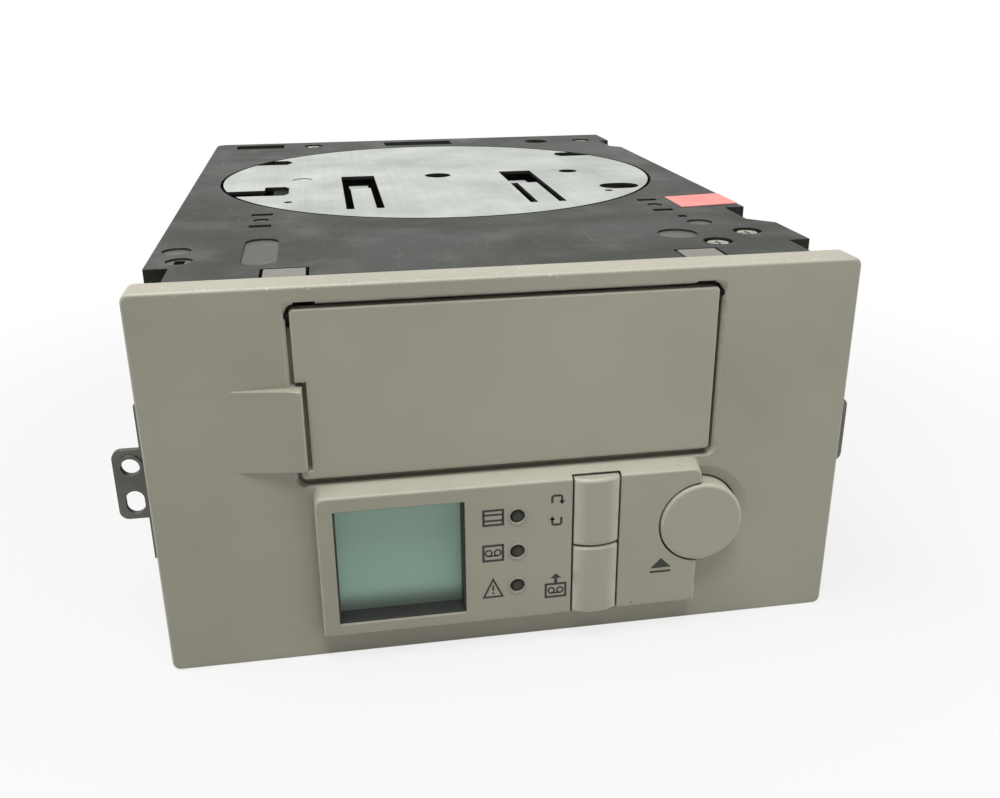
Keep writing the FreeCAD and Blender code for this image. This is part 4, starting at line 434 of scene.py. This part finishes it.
def specks(tree, place, apart_mm, core, rim, none_below, full_from, most=1.0):
    """Specks in a loose grid, solid at the core and gone at the rim, in cells whose chance is high."""
    cells = add(tree, "ShaderNodeTexVoronoi", {"Scale": 1000/apart_mm}, {"Vector": place})
    dot = add(tree, "ShaderNodeMapRange",
              {"From Min": core, "From Max": rim, "To Min": most, "To Max": 0.0},
              {"Value": cells.outputs["Distance"]})
    chance = add(tree, "ShaderNodeSeparateColor", links={"Color": cells.outputs["Color"]})
    rare = add(tree, "ShaderNodeMapRange", {"From Min": none_below, "From Max": full_from},
               {"Value": chance.outputs[0]})
    return add(tree, "ShaderNodeMath", {"operation": "MULTIPLY"}, {0: dot.outputs[0], 1: rare.outputs[0]})


dusty, tree, place = start_material("dusty_charcoal_polycarbonate")
smear = add(tree, "ShaderNodeTexNoise", {"Scale": 1000/38, "Detail": 3.0, "Distortion": 0.6},
            {"Vector": place})
base = add(tree, "ShaderNodeMix",
           {"data_type": "RGBA", COLOUR_A: colour("#22241F"), COLOUR_B: colour("#2A2C27")},
           {"Factor": smear.outputs["Fac"]})
lint = specks(tree, place, 2.2, core=0.05, rim=0.10, none_below=0.68, full_from=1.0)
spread = add(tree, "ShaderNodeTexNoise", {"Scale": 1000/16, "Detail": 5.0, "Roughness": 0.65},
             {"Vector": place})
film = add(tree, "ShaderNodeMapRange", {"From Min": 0.50, "From Max": 0.82, "To Max": 0.17},
           {"Value": spread.outputs["Fac"]})
height = add(tree, "ShaderNodeSeparateXYZ", links={0: place})
sunk = add(tree, "ShaderNodeMapRange",
           {"From Min": LID_TOP - 0.00005, "From Max": LID_TOP - 0.00020, "To Max": 0.20},
           {"Value": height.outputs["Z"]})
form = add(tree, "ShaderNodeNewGeometry")
facing = add(tree, "ShaderNodeSeparateXYZ", links={0: form.outputs["True Normal"]})
level = add(tree, "ShaderNodeMapRange", {"From Min": 0.7, "From Max": 0.95}, {"Value": facing.outputs["Z"]})
lying = add(tree, "ShaderNodeMath", {"operation": "ADD"}, {0: film.outputs[0], 1: sunk.outputs[0]})
lying = add(tree, "ShaderNodeMath", {"operation": "MULTIPLY"}, {0: lying.outputs[0], 1: level.outputs[0]})
lying = add(tree, "ShaderNodeMath", {"operation": "MAXIMUM"}, {0: lying.outputs[0], 1: lint.outputs[0]})
turned = add(tree, "ShaderNodeMapping", {"Rotation": (0, 0, math.radians(35)),
                                         "Scale": (1000/0.5, 1000/16, 1000/0.5)}, {"Vector": place})
scratch = add(tree, "ShaderNodeTexNoise", {"Scale": 1.0, "Detail": 1.0}, {"Vector": turned.outputs[0]})
scuff = add(tree, "ShaderNodeMapRange", {"From Min": 0.70, "From Max": 0.82, "To Max": 0.30},
            {"Value": scratch.outputs["Fac"]})
marks = add(tree, "ShaderNodeMath", {"operation": "MAXIMUM"}, {0: lying.outputs[0], 1: scuff.outputs[0]})
skin = add(tree, "ShaderNodeMix", {"data_type": "RGBA", COLOUR_B: colour("#9B9D97")},
           {"Factor": marks.outputs[0], COLOUR_A: base.outputs[COLOUR_OUT]})
gloss = add(tree, "ShaderNodeMapRange",
            {"From Min": 0.35, "From Max": 0.65, "To Min": 0.42, "To Max": 0.54},
            {"Value": smear.outputs["Fac"]})
# The real grain is too fine to show, so it is drawn at 0.9 mm.
grain = add(tree, "ShaderNodeTexNoise", {"Scale": 1000/0.9, "Detail": 2.0}, {"Vector": place})
edge = add(tree, "ShaderNodeBevel", {"samples": 4, "Radius": 0.0003})
dimple = add(tree, "ShaderNodeBump", {"Strength": 0.14, "Distance": 0.00006},
             {"Height": grain.outputs["Fac"], "Normal": edge.outputs[0]})
shade = add(tree, "ShaderNodeBsdfPrincipled", {"IOR": 1.25, "Specular Tint": colour("#EEF2E8")},
            {"Base Color": skin.outputs[COLOUR_OUT], "Roughness": gloss.outputs[0],
             "Normal": dimple.outputs[0]})
add(tree, "ShaderNodeOutputMaterial", links={"Surface": shade.outputs[0]})
dress(dusty, "top_frame")

# Label: a plain red paper sticker at the lid's corner, unevenly faded to salmon, with a matt
# fibrous skin.
paper, tree, place = start_material("faded_red_label_paper")
fibre = add(tree, "ShaderNodeTexNoise", {"Scale": 1000/0.8, "Detail": 3.0}, {"Vector": place})
fade = add(tree, "ShaderNodeTexNoise", {"Scale": 1000/9, "Detail": 2.0}, {"Vector": place})
skin = add(tree, "ShaderNodeMix",
           {"data_type": "RGBA", COLOUR_A: colour("#E17D76"), COLOUR_B: colour("#ED9A92")},
           {"Factor": fade.outputs["Fac"]})
rough = add(tree, "ShaderNodeMapRange", {"To Min": 0.5, "To Max": 0.75}, {"Value": fibre.outputs["Fac"]})
nap = add(tree, "ShaderNodeBump", {"Strength": 0.10, "Distance": 0.00004}, {"Height": fibre.outputs["Fac"]})
shade = add(tree, "ShaderNodeBsdfPrincipled",
            links={"Base Color": skin.outputs[COLOUR_OUT], "Roughness": rough.outputs[0],
                   "Normal": nap.outputs[0]})
add(tree, "ShaderNodeOutputMaterial", links={"Surface": shade.outputs[0]})
dress(paper, "top_label")

# Bezel: the whole front is one ABS moulding with the door opening, the raised console, the
# key block and four snap hooks. The tool was spark eroded, so the skin has a fine even grain;
# age has left it uneven in tone, with a few specks, rubbed edges and grime in the corners. The
# rubbed edge lines also carry a painted highlight, and the corner darkening is partly painted shade.
BEZEL_TOP, TAB_FRONT = 0.0835, -0.0962


def edge_wear_and_highlight(tree, place, edge, most):
    """How bright sharp and rounded edges get from wear and from a painted highlight: in patches, and less
    where they face up.
    """
    form = add(tree, "ShaderNodeNewGeometry")
    turn = add(tree, "ShaderNodeVectorMath", {"operation": "DOT_PRODUCT"},
               {0: edge.outputs[0], 1: form.outputs["Normal"]})
    sharp = add(tree, "ShaderNodeMapRange", {"From Min": 0.97, "From Max": 0.80, "To Max": most},
                {"Value": turn.outputs["Value"]})
    lean = add(tree, "ShaderNodeVectorMath", {"operation": "ABSOLUTE"}, {0: form.outputs["Normal"]})
    lean = add(tree, "ShaderNodeSeparateXYZ", links={0: lean.outputs[0]})
    square = add(tree, "ShaderNodeMath", {"operation": "MAXIMUM"},
                 {0: lean.outputs["X"], 1: lean.outputs["Y"]})
    square = add(tree, "ShaderNodeMath", {"operation": "MAXIMUM"},
                 {0: square.outputs[0], 1: lean.outputs["Z"]})
    # Painted highlight: the middle of each fillet, where it turns well away from the main axes, is lit as a
    # pale line.
    fillet = add(tree, "ShaderNodeMapRange", {"From Min": 0.975, "From Max": 0.88, "To Max": most},
                 {"Value": square.outputs[0]})
    upward = add(tree, "ShaderNodeSeparateXYZ", links={0: form.outputs["Normal"]})
    shelf = add(tree, "ShaderNodeMapRange",
                {"From Min": 0.10, "From Max": 0.40, "To Min": 1.0, "To Max": 0.40},
                {"Value": upward.outputs["Z"]})
    fillet = add(tree, "ShaderNodeMath", {"operation": "MULTIPLY"},
                 {0: fillet.outputs[0], 1: shelf.outputs[0]})
    bent = add(tree, "ShaderNodeMath", {"operation": "MAXIMUM"},
               {0: sharp.outputs[0], 1: fillet.outputs[0]})
    touch = add(tree, "ShaderNodeTexNoise", {"Scale": 1000/6, "Detail": 4.0, "Roughness": 0.7},
                {"Vector": place})
    patch = add(tree, "ShaderNodeMapRange", {"From Min": 0.25, "From Max": 0.50},
                {"Value": touch.outputs["Fac"]})
    return add(tree, "ShaderNodeMath", {"operation": "MULTIPLY"}, {0: bent.outputs[0], 1: patch.outputs[0]})


def aged_abs(name, pale, deep, rub_and_highlight, grime_and_shade, tabs=None):
    """Grained ABS: drifting tone, specks, dust, edge wear with painted highlight, corner dirt with painted
    shade; tabs tints the snap tabs on top.
    """
    made, tree, place = start_material(name)
    ageing = add(tree, "ShaderNodeTexNoise", {"Scale": 1000/45, "Detail": 3.0}, {"Vector": place})
    tone = add(tree, "ShaderNodeMapRange", {"From Min": 0.35, "From Max": 0.65},
               {"Value": ageing.outputs["Fac"]})
    base = add(tree, "ShaderNodeMix",
               {"data_type": "RGBA", COLOUR_A: colour(deep), COLOUR_B: colour(pale)},
               {"Factor": tone.outputs[0]})
    spots = specks(tree, place, 9, core=0.02, rim=0.035, none_below=0.90, full_from=0.9001)
    spotted = add(tree, "ShaderNodeMix", {"data_type": "RGBA", COLOUR_B: colour("#6E6A5C")},
                  {"Factor": spots.outputs[0], COLOUR_A: base.outputs[COLOUR_OUT]})
    # Corner darkening from occlusion: grime together with painted shade in creases and under the console.
    open_sky = add(tree, "ShaderNodeAmbientOcclusion", {"samples": 4, "Distance": 0.0025})
    corner = add(tree, "ShaderNodeMapRange", {"From Min": 0.75, "From Max": 0.35, "To Max": grime_and_shade},
                 {"Value": open_sky.outputs["AO"]})
    dirt_and_shade = add(tree, "ShaderNodeMix", {"data_type": "RGBA", COLOUR_B: colour("#5A574C")},
                {"Factor": corner.outputs[0], COLOUR_A: spotted.outputs[COLOUR_OUT]})
    where = add(tree, "ShaderNodeSeparateXYZ", links={0: place})
    ridge = add(tree, "ShaderNodeMapRange",
                {"From Min": BEZEL_TOP - 0.0020, "From Max": BEZEL_TOP - 0.0007},
                {"Value": where.outputs["Z"]})
    lint = specks(tree, place, 1.3, core=0.10, rim=0.24, none_below=0.50, full_from=0.90, most=0.9)
    dust = add(tree, "ShaderNodeMath", {"operation": "MULTIPLY"}, {0: lint.outputs[0], 1: ridge.outputs[0]})
    dirt_and_shade = add(tree, "ShaderNodeMix", {"data_type": "RGBA", COLOUR_B: colour("#CFCDC2")},
                {"Factor": dust.outputs[0], COLOUR_A: dirt_and_shade.outputs[COLOUR_OUT]})
    edge = add(tree, "ShaderNodeBevel", {"samples": 4, "Radius": 0.0004})
    wear_and_highlight = edge_wear_and_highlight(tree, place, edge, rub_and_highlight)
    skin = add(tree, "ShaderNodeMix", {"data_type": "RGBA", COLOUR_B: colour("#D9D6C8")},
               {"Factor": wear_and_highlight.outputs[0], COLOUR_A: dirt_and_shade.outputs[COLOUR_OUT]})
    if tabs:
        behind = add(tree, "ShaderNodeMath", {"operation": "GREATER_THAN", 1: TAB_FRONT},
                     {0: where.outputs["Y"]})
        above = add(tree, "ShaderNodeMath", {"operation": "GREATER_THAN", 1: BEZEL_TOP - 0.0030},
                    {0: where.outputs["Z"]})
        both = add(tree, "ShaderNodeMath", {"operation": "MULTIPLY"},
                   {0: behind.outputs[0], 1: above.outputs[0]})
        skin = add(tree, "ShaderNodeMix", {"data_type": "RGBA", COLOUR_B: colour(tabs)},
                   {"Factor": both.outputs[0], COLOUR_A: skin.outputs[COLOUR_OUT]})
    gloss = add(tree, "ShaderNodeMapRange", {"To Min": 0.44, "To Max": 0.60},
                {"Value": ageing.outputs["Fac"]})
    # The real grain is too fine to show, so it is drawn at 0.6 mm.
    grain = add(tree, "ShaderNodeTexNoise", {"Scale": 1000/0.6, "Detail": 2.0}, {"Vector": place})
    spark = add(tree, "ShaderNodeBump", {"Strength": 0.16, "Distance": 0.00006},
                {"Height": grain.outputs["Fac"], "Normal": edge.outputs[0]})
    shade = add(tree, "ShaderNodeBsdfPrincipled", {"IOR": 1.53},
                {"Base Color": skin.outputs[COLOUR_OUT], "Roughness": gloss.outputs[0],
                 "Normal": spark.outputs[0]})
    add(tree, "ShaderNodeOutputMaterial", links={"Surface": shade.outputs[0]})
    return made


dress(aged_abs("beige_grey_abs", "#A4A192", "#9A9788", 0.45, 0.12, "#6F6D65"), "bezel")

# Magazine door: a flap of the same ABS, hinged at its top on two black steel pins, with plain
# corners and a bright top edge, rubbed and with a painted highlight.
dress(aged_abs("door_beige_grey_abs", "#A9A697", "#A19E8F", 0.55, 0.30), "magazine_door")
dress(painted, "door_pins")

# Display: a reflective green cell in a black frame over a white light guide. Its colour darkens
# along its foot as a painted shade, and a weak painted glow lifts the whole cell. A black rubber
# gasket lines the window.
FOOT_TOP, FOOT_LOW = 0.0156, 0.0098
cell, tree, place = start_material("green_reflective_display_cell")
upright = add(tree, "ShaderNodeMapping", {"Rotation": (math.radians(-90), 0, 0)}, {"Vector": place})
grid = add(tree, "ShaderNodeTexBrick",
           {"offset": 0.0, "Scale": 1000/0.6, "Mortar Size": 0.05, "Brick Width": 1.0, "Row Height": 1.0,
            "Color1": (1, 1, 1, 1), "Color2": (1, 1, 1, 1), "Mortar": (0.93, 0.93, 0.93, 1)},
           {"Vector": upright.outputs[0]})
drift = add(tree, "ShaderNodeTexNoise", {"Scale": 1000/12, "Detail": 2.0}, {"Vector": place})
tint = add(tree, "ShaderNodeMix",
           {"data_type": "RGBA", COLOUR_A: colour("#769482"), COLOUR_B: colour("#7C978A")},
           {"Factor": drift.outputs["Fac"]})
dots = add(tree, "ShaderNodeMix", {"data_type": "RGBA", "blend_type": "MULTIPLY", "Factor": 1.0},
           {COLOUR_A: tint.outputs[COLOUR_OUT], COLOUR_B: grid.outputs["Color"]})
height = add(tree, "ShaderNodeSeparateXYZ", links={0: place})
# Painted shade: the cell's colour darkens towards its foot.
foot_shade = add(tree, "ShaderNodeMapRange",
           {"interpolation_type": "SMOOTHSTEP", "From Min": FOOT_TOP, "From Max": FOOT_LOW},
           {"Value": height.outputs["Z"]})
skin = add(tree, "ShaderNodeMix", {"data_type": "RGBA", COLOUR_B: colour("#525B54")},
           {"Factor": foot_shade.outputs[0], COLOUR_A: dots.outputs[COLOUR_OUT]})
# The weak emission is a painted glow that evens out the shade of the window on the cell.
shade = add(tree, "ShaderNodeBsdfPrincipled",
            {"Roughness": 0.30, "IOR": 1.50, "Emission Strength": 0.30},
            {"Base Color": skin.outputs[COLOUR_OUT], "Emission Color": skin.outputs[COLOUR_OUT]})
add(tree, "ShaderNodeOutputMaterial", links={"Surface": shade.outputs[0]})
dress(cell, "lcd_glass")
dress(black, "lcd_frame")
light_guide = moulded("white_light_guide_acrylic", "#EDEDE8", "#E2E2DC", 0.30)
dress(light_guide, "lcd_backlight")


def outline(piece, width):
    """Leave only a line of the given width along the rim of a flat piece."""
    bpy.ops.object.transform_apply(location=True, rotation=True, scale=True)
    bpy.ops.object.mode_set(mode="EDIT")
    bpy.ops.mesh.select_mode(type="FACE")
    bpy.ops.mesh.select_all(action="SELECT")
    bpy.ops.mesh.inset(thickness=width)
    bpy.ops.mesh.delete(type="FACE")
    bpy.ops.object.mode_set(mode="OBJECT")


def thicken(piece, depth):
    """Give a flat piece a thickness towards the front."""
    wall = piece.modifiers.new("wall", "SOLIDIFY")
    wall.thickness = depth
    wall.offset = 1.0
    bpy.ops.object.modifier_apply(modifier="wall")


FACING = math.radians(90)
WINDOW_X, WINDOW_BACK, WINDOW_Z = -0.02440, -0.10215, 0.02300
WINDOW_WIDE, WINDOW_HIGH, GASKET_WALL, GASKET_DEEP = 0.02726, 0.02696, 0.00035, 0.0043
bpy.ops.object.select_all(action="DESELECT")
bpy.ops.mesh.primitive_plane_add(size=1, location=(WINDOW_X, WINDOW_BACK, WINDOW_Z),
                                 rotation=(FACING, 0, 0))
gasket = bpy.context.object
gasket.scale = (WINDOW_WIDE, WINDOW_HIGH, 1)
outline(gasket, GASKET_WALL)
thicken(gasket, GASKET_DEEP)
rubber = moulded("black_gasket_rubber", "#2C2E2B", "#232422", 0.60)
fit(gasket, "display_gasket", rubber)

# Lamps: three white lamp bodies on the board light smoked acrylic pipes that end in the
# console face, each in a thin pale ring. Each lens has a painted shade round its rim, and its
# lighter middle sits a little off centre as a painted highlight.
LAMP_X, LAMP_LOW, LAMP_STEP, LAMP_COUNT = 0.00045, 0.0152, 0.00845, 3
HIGHLIGHT_X, HIGHLIGHT_Z = LAMP_X + 0.00020, LAMP_LOW - 0.00028
smoked, tree, place = start_material("smoked_acrylic")
haze = add(tree, "ShaderNodeTexNoise", {"Scale": 1000/1.6, "Detail": 2.0}, {"Vector": place})
spot = add(tree, "ShaderNodeSeparateXYZ", links={0: place})
row = add(tree, "ShaderNodeMath",
          {"operation": "WRAP", 1: LAMP_LOW + LAMP_STEP/2, 2: LAMP_LOW - LAMP_STEP/2},
          {0: spot.outputs["Z"]})
flat = add(tree, "ShaderNodeCombineXYZ", links={0: spot.outputs["X"], 2: row.outputs[0]})
off = add(tree, "ShaderNodeVectorMath", {"operation": "DISTANCE", 1: (HIGHLIGHT_X, 0, HIGHLIGHT_Z)},
          {0: flat.outputs[0]})
# Painted shade round each lens's rim, centred off the lens so that its middle reads as a painted highlight.
rim = add(tree, "ShaderNodeMapRange", {"From Min": 0.0008, "From Max": 0.0014},
          {"Value": off.outputs["Value"]})
tint = add(tree, "ShaderNodeMix",
           {"data_type": "RGBA", COLOUR_A: colour("#3A3931"), COLOUR_B: colour("#4C4A41")},
           {"Factor": haze.outputs["Fac"]})
skin = add(tree, "ShaderNodeMix", {"data_type": "RGBA", COLOUR_B: colour("#0C0C09")},
           {"Factor": rim.outputs[0], COLOUR_A: tint.outputs[COLOUR_OUT]})
shade = add(tree, "ShaderNodeBsdfPrincipled", {"Roughness": 0.20, "IOR": 1.28},
            {"Base Color": skin.outputs[COLOUR_OUT]})
add(tree, "ShaderNodeOutputMaterial", links={"Surface": shade.outputs[0]})
dress(smoked, "light_pipes")
dress(light_guide, "status_lamps")
ring_abs = aged_abs("ring_beige_grey_abs", "#A6A394", "#9C998A", 0.20, 0.18)
CONSOLE = -0.1071
RING_RADIUS, RING_LINE, RING_FILM = 0.0021, 0.00046, 0.00012
bpy.ops.object.select_all(action="DESELECT")
bpy.ops.mesh.primitive_circle_add(vertices=40, radius=RING_RADIUS, fill_type="NGON",
                                  location=(LAMP_X, CONSOLE, LAMP_LOW), rotation=(FACING, 0, 0))
rings = bpy.context.object
outline(rings, RING_LINE)
thicken(rings, RING_FILM)
repeat(rings, LAMP_COUNT, (0, 0, LAMP_STEP))
fit(rings, "lamp_rings", ring_abs)

# Buttons: an eject disc and two barrel keys of the same ABS, each on a black plunger over a
# small black switch. Fingers have rubbed their edges pale, and the pale edge lines also carry a
# painted highlight.
button_abs = aged_abs("button_beige_grey_abs", "#A8A597", "#A29F90", 0.55, 0.30)
dress(button_abs, "eject_button", "upper_button", "lower_button")
dress(black, "eject_plunger", "upper_plunger", "lower_plunger", "tact_switches")

# Printed signs: small dark signs in pad-printed ink on the console face, for the magazine, a
# cassette, a fault, the cycle keys and eject. Each is a thin film of ink, drawn as outlines
# from middles and sizes in millimetres.
ink, tree, place = start_material("dark_pad_print_ink")
blot = add(tree, "ShaderNodeTexNoise", {"Scale": 1000/0.7, "Detail": 3.0}, {"Vector": place})
skin = add(tree, "ShaderNodeMix",
           {"data_type": "RGBA", COLOUR_A: colour("#1E1D17"), COLOUR_B: colour("#2D2C25")},
           {"Factor": blot.outputs["Fac"]})
gloss = add(tree, "ShaderNodeMapRange", {"To Min": 0.45, "To Max": 0.65}, {"Value": blot.outputs["Fac"]})
shade = add(tree, "ShaderNodeBsdfPrincipled",
            links={"Base Color": skin.outputs[COLOUR_OUT], "Roughness": gloss.outputs[0]})
add(tree, "ShaderNodeOutputMaterial", links={"Surface": shade.outputs[0]})
LINE, ALERT_LINE, REEL_LINE = 0.00050, 0.00042, 0.00036
FILM, HOOK_ROUND = 0.00003, 0.00070


def box_mark(x, z, wide, high, line=None):
    """A printed box about its middle: an outline, or solid if no line is given."""
    bpy.ops.object.select_all(action="DESELECT")
    bpy.ops.mesh.primitive_plane_add(size=1, location=(x/1000, CONSOLE, z/1000), rotation=(FACING, 0, 0))
    mark = bpy.context.object
    mark.scale = (wide/1000, high/1000, 1)
    bpy.ops.object.transform_apply(location=True, rotation=True, scale=True)
    if line:
        outline(mark, line)
    return mark


def ring_mark(x, z, across):
    """A printed reel: a fine ring about its middle."""
    bpy.ops.object.select_all(action="DESELECT")
    bpy.ops.mesh.primitive_circle_add(vertices=24, radius=across/2000, fill_type="NGON",
                                      location=(x/1000, CONSOLE, z/1000), rotation=(FACING, 0, 0))
    mark = bpy.context.object
    outline(mark, REEL_LINE)
    return mark


def point_mark(x, low, wide, high, line=None, down=False):
    """A printed triangle that stands above the height low and points up or down."""
    bpy.ops.object.select_all(action="DESELECT")
    third = high/3000
    middle = ((low + high)/1000 - third) if down else (low/1000 + third)
    bpy.ops.mesh.primitive_circle_add(vertices=3, radius=1, fill_type="NGON",
                                      location=(x/1000, CONSOLE, middle),
                                      rotation=(FACING, math.pi if down else 0, 0))
    mark = bpy.context.object
    mark.scale = (wide/1000/math.sqrt(3), 2*third, 1)
    bpy.ops.object.transform_apply(location=True, rotation=True, scale=True)
    if line:
        outline(mark, line)
    return mark


def hook_mark(x, wide, end, far):
    """A printed hook: two legs from the height end, joined with round corners at the height far."""
    mark = box_mark(x, end, wide, 2*abs(end - far), LINE)
    bpy.ops.object.mode_set(mode="EDIT")
    bpy.ops.mesh.select_all(action="SELECT")
    bpy.ops.mesh.bisect(plane_co=(0, 0, end/1000), plane_no=(0, 0, math.copysign(1, end - far)),
                        clear_outer=True)
    bpy.ops.mesh.select_mode(type="VERT")
    bpy.ops.mesh.select_all(action="DESELECT")
    shape = bmesh.from_edit_mesh(mark.data)
    for corner in shape.verts:
        corner.select_set(abs(corner.co.z - far/1000) < 1e-6)
    bmesh.update_edit_mesh(mark.data)
    bpy.ops.mesh.bevel(offset=HOOK_ROUND, segments=4, affect="VERTICES")
    bpy.ops.object.mode_set(mode="OBJECT")
    return mark


def tape_marks(x, z, apart, reel, drop):
    """Two reels and, a little below their middles, the tape that runs from one to the other."""
    return (ring_mark(x - apart/2, z, reel), ring_mark(x + apart/2, z, reel),
            box_mark(x, z - drop, wide=apart, high=0.35))


def print_sign(name, *marks):
    """Join the marks of one sign, give the ink its film and fix it to the console."""
    bpy.ops.object.select_all(action="DESELECT")
    for mark in marks:
        mark.select_set(True)
    bpy.context.view_layer.objects.active = marks[0]
    bpy.ops.object.join()
    thicken(marks[0], FILM)
    fit(marks[0], name, ink)


print_sign("stack_sign",
           box_mark(-4.75, 32.215, wide=4.68, high=3.95, line=LINE),
           box_mark(-4.75, 31.520, wide=4.10, high=0.44),
           box_mark(-4.75, 32.910, wide=4.10, high=0.44))
print_sign("cassette_sign",
           box_mark(-4.82, 23.71, wide=4.74, high=4.12, line=LINE),
           *tape_marks(-4.825, 23.75, apart=1.95, reel=1.75, drop=0.705))
print_sign("attention_sign",
           point_mark(-4.895, 12.67, wide=4.81, high=5.00, line=ALERT_LINE),
           box_mark(-4.895, 15.05, wide=0.37, high=1.40),
           box_mark(-4.895, 13.80, wide=0.41, high=0.40))
print_sign("cycle_sign",
           hook_mark(9.00, wide=2.60, end=34.50, far=36.45),
           point_mark(10.08, 34.05, wide=1.36, high=0.90, down=True),
           hook_mark(8.975, wide=2.45, end=31.00, far=29.05),
           point_mark(7.97, 30.45, wide=1.36, high=0.90))
print_sign("load_sign",
           box_mark(8.95, 13.05, wide=4.90, high=3.70, line=LINE),
           *tape_marks(8.95, 13.05, apart=1.94, reel=1.70, drop=0.675),
           point_mark(8.95, 16.10, wide=2.40, high=1.15),
           box_mark(8.95, 15.50, wide=0.70, high=1.20))
print_sign("eject_sign",
           point_mark(32.75, 16.15, wide=4.80, high=2.40),
           box_mark(32.70, 15.20, wide=4.70, high=0.50))
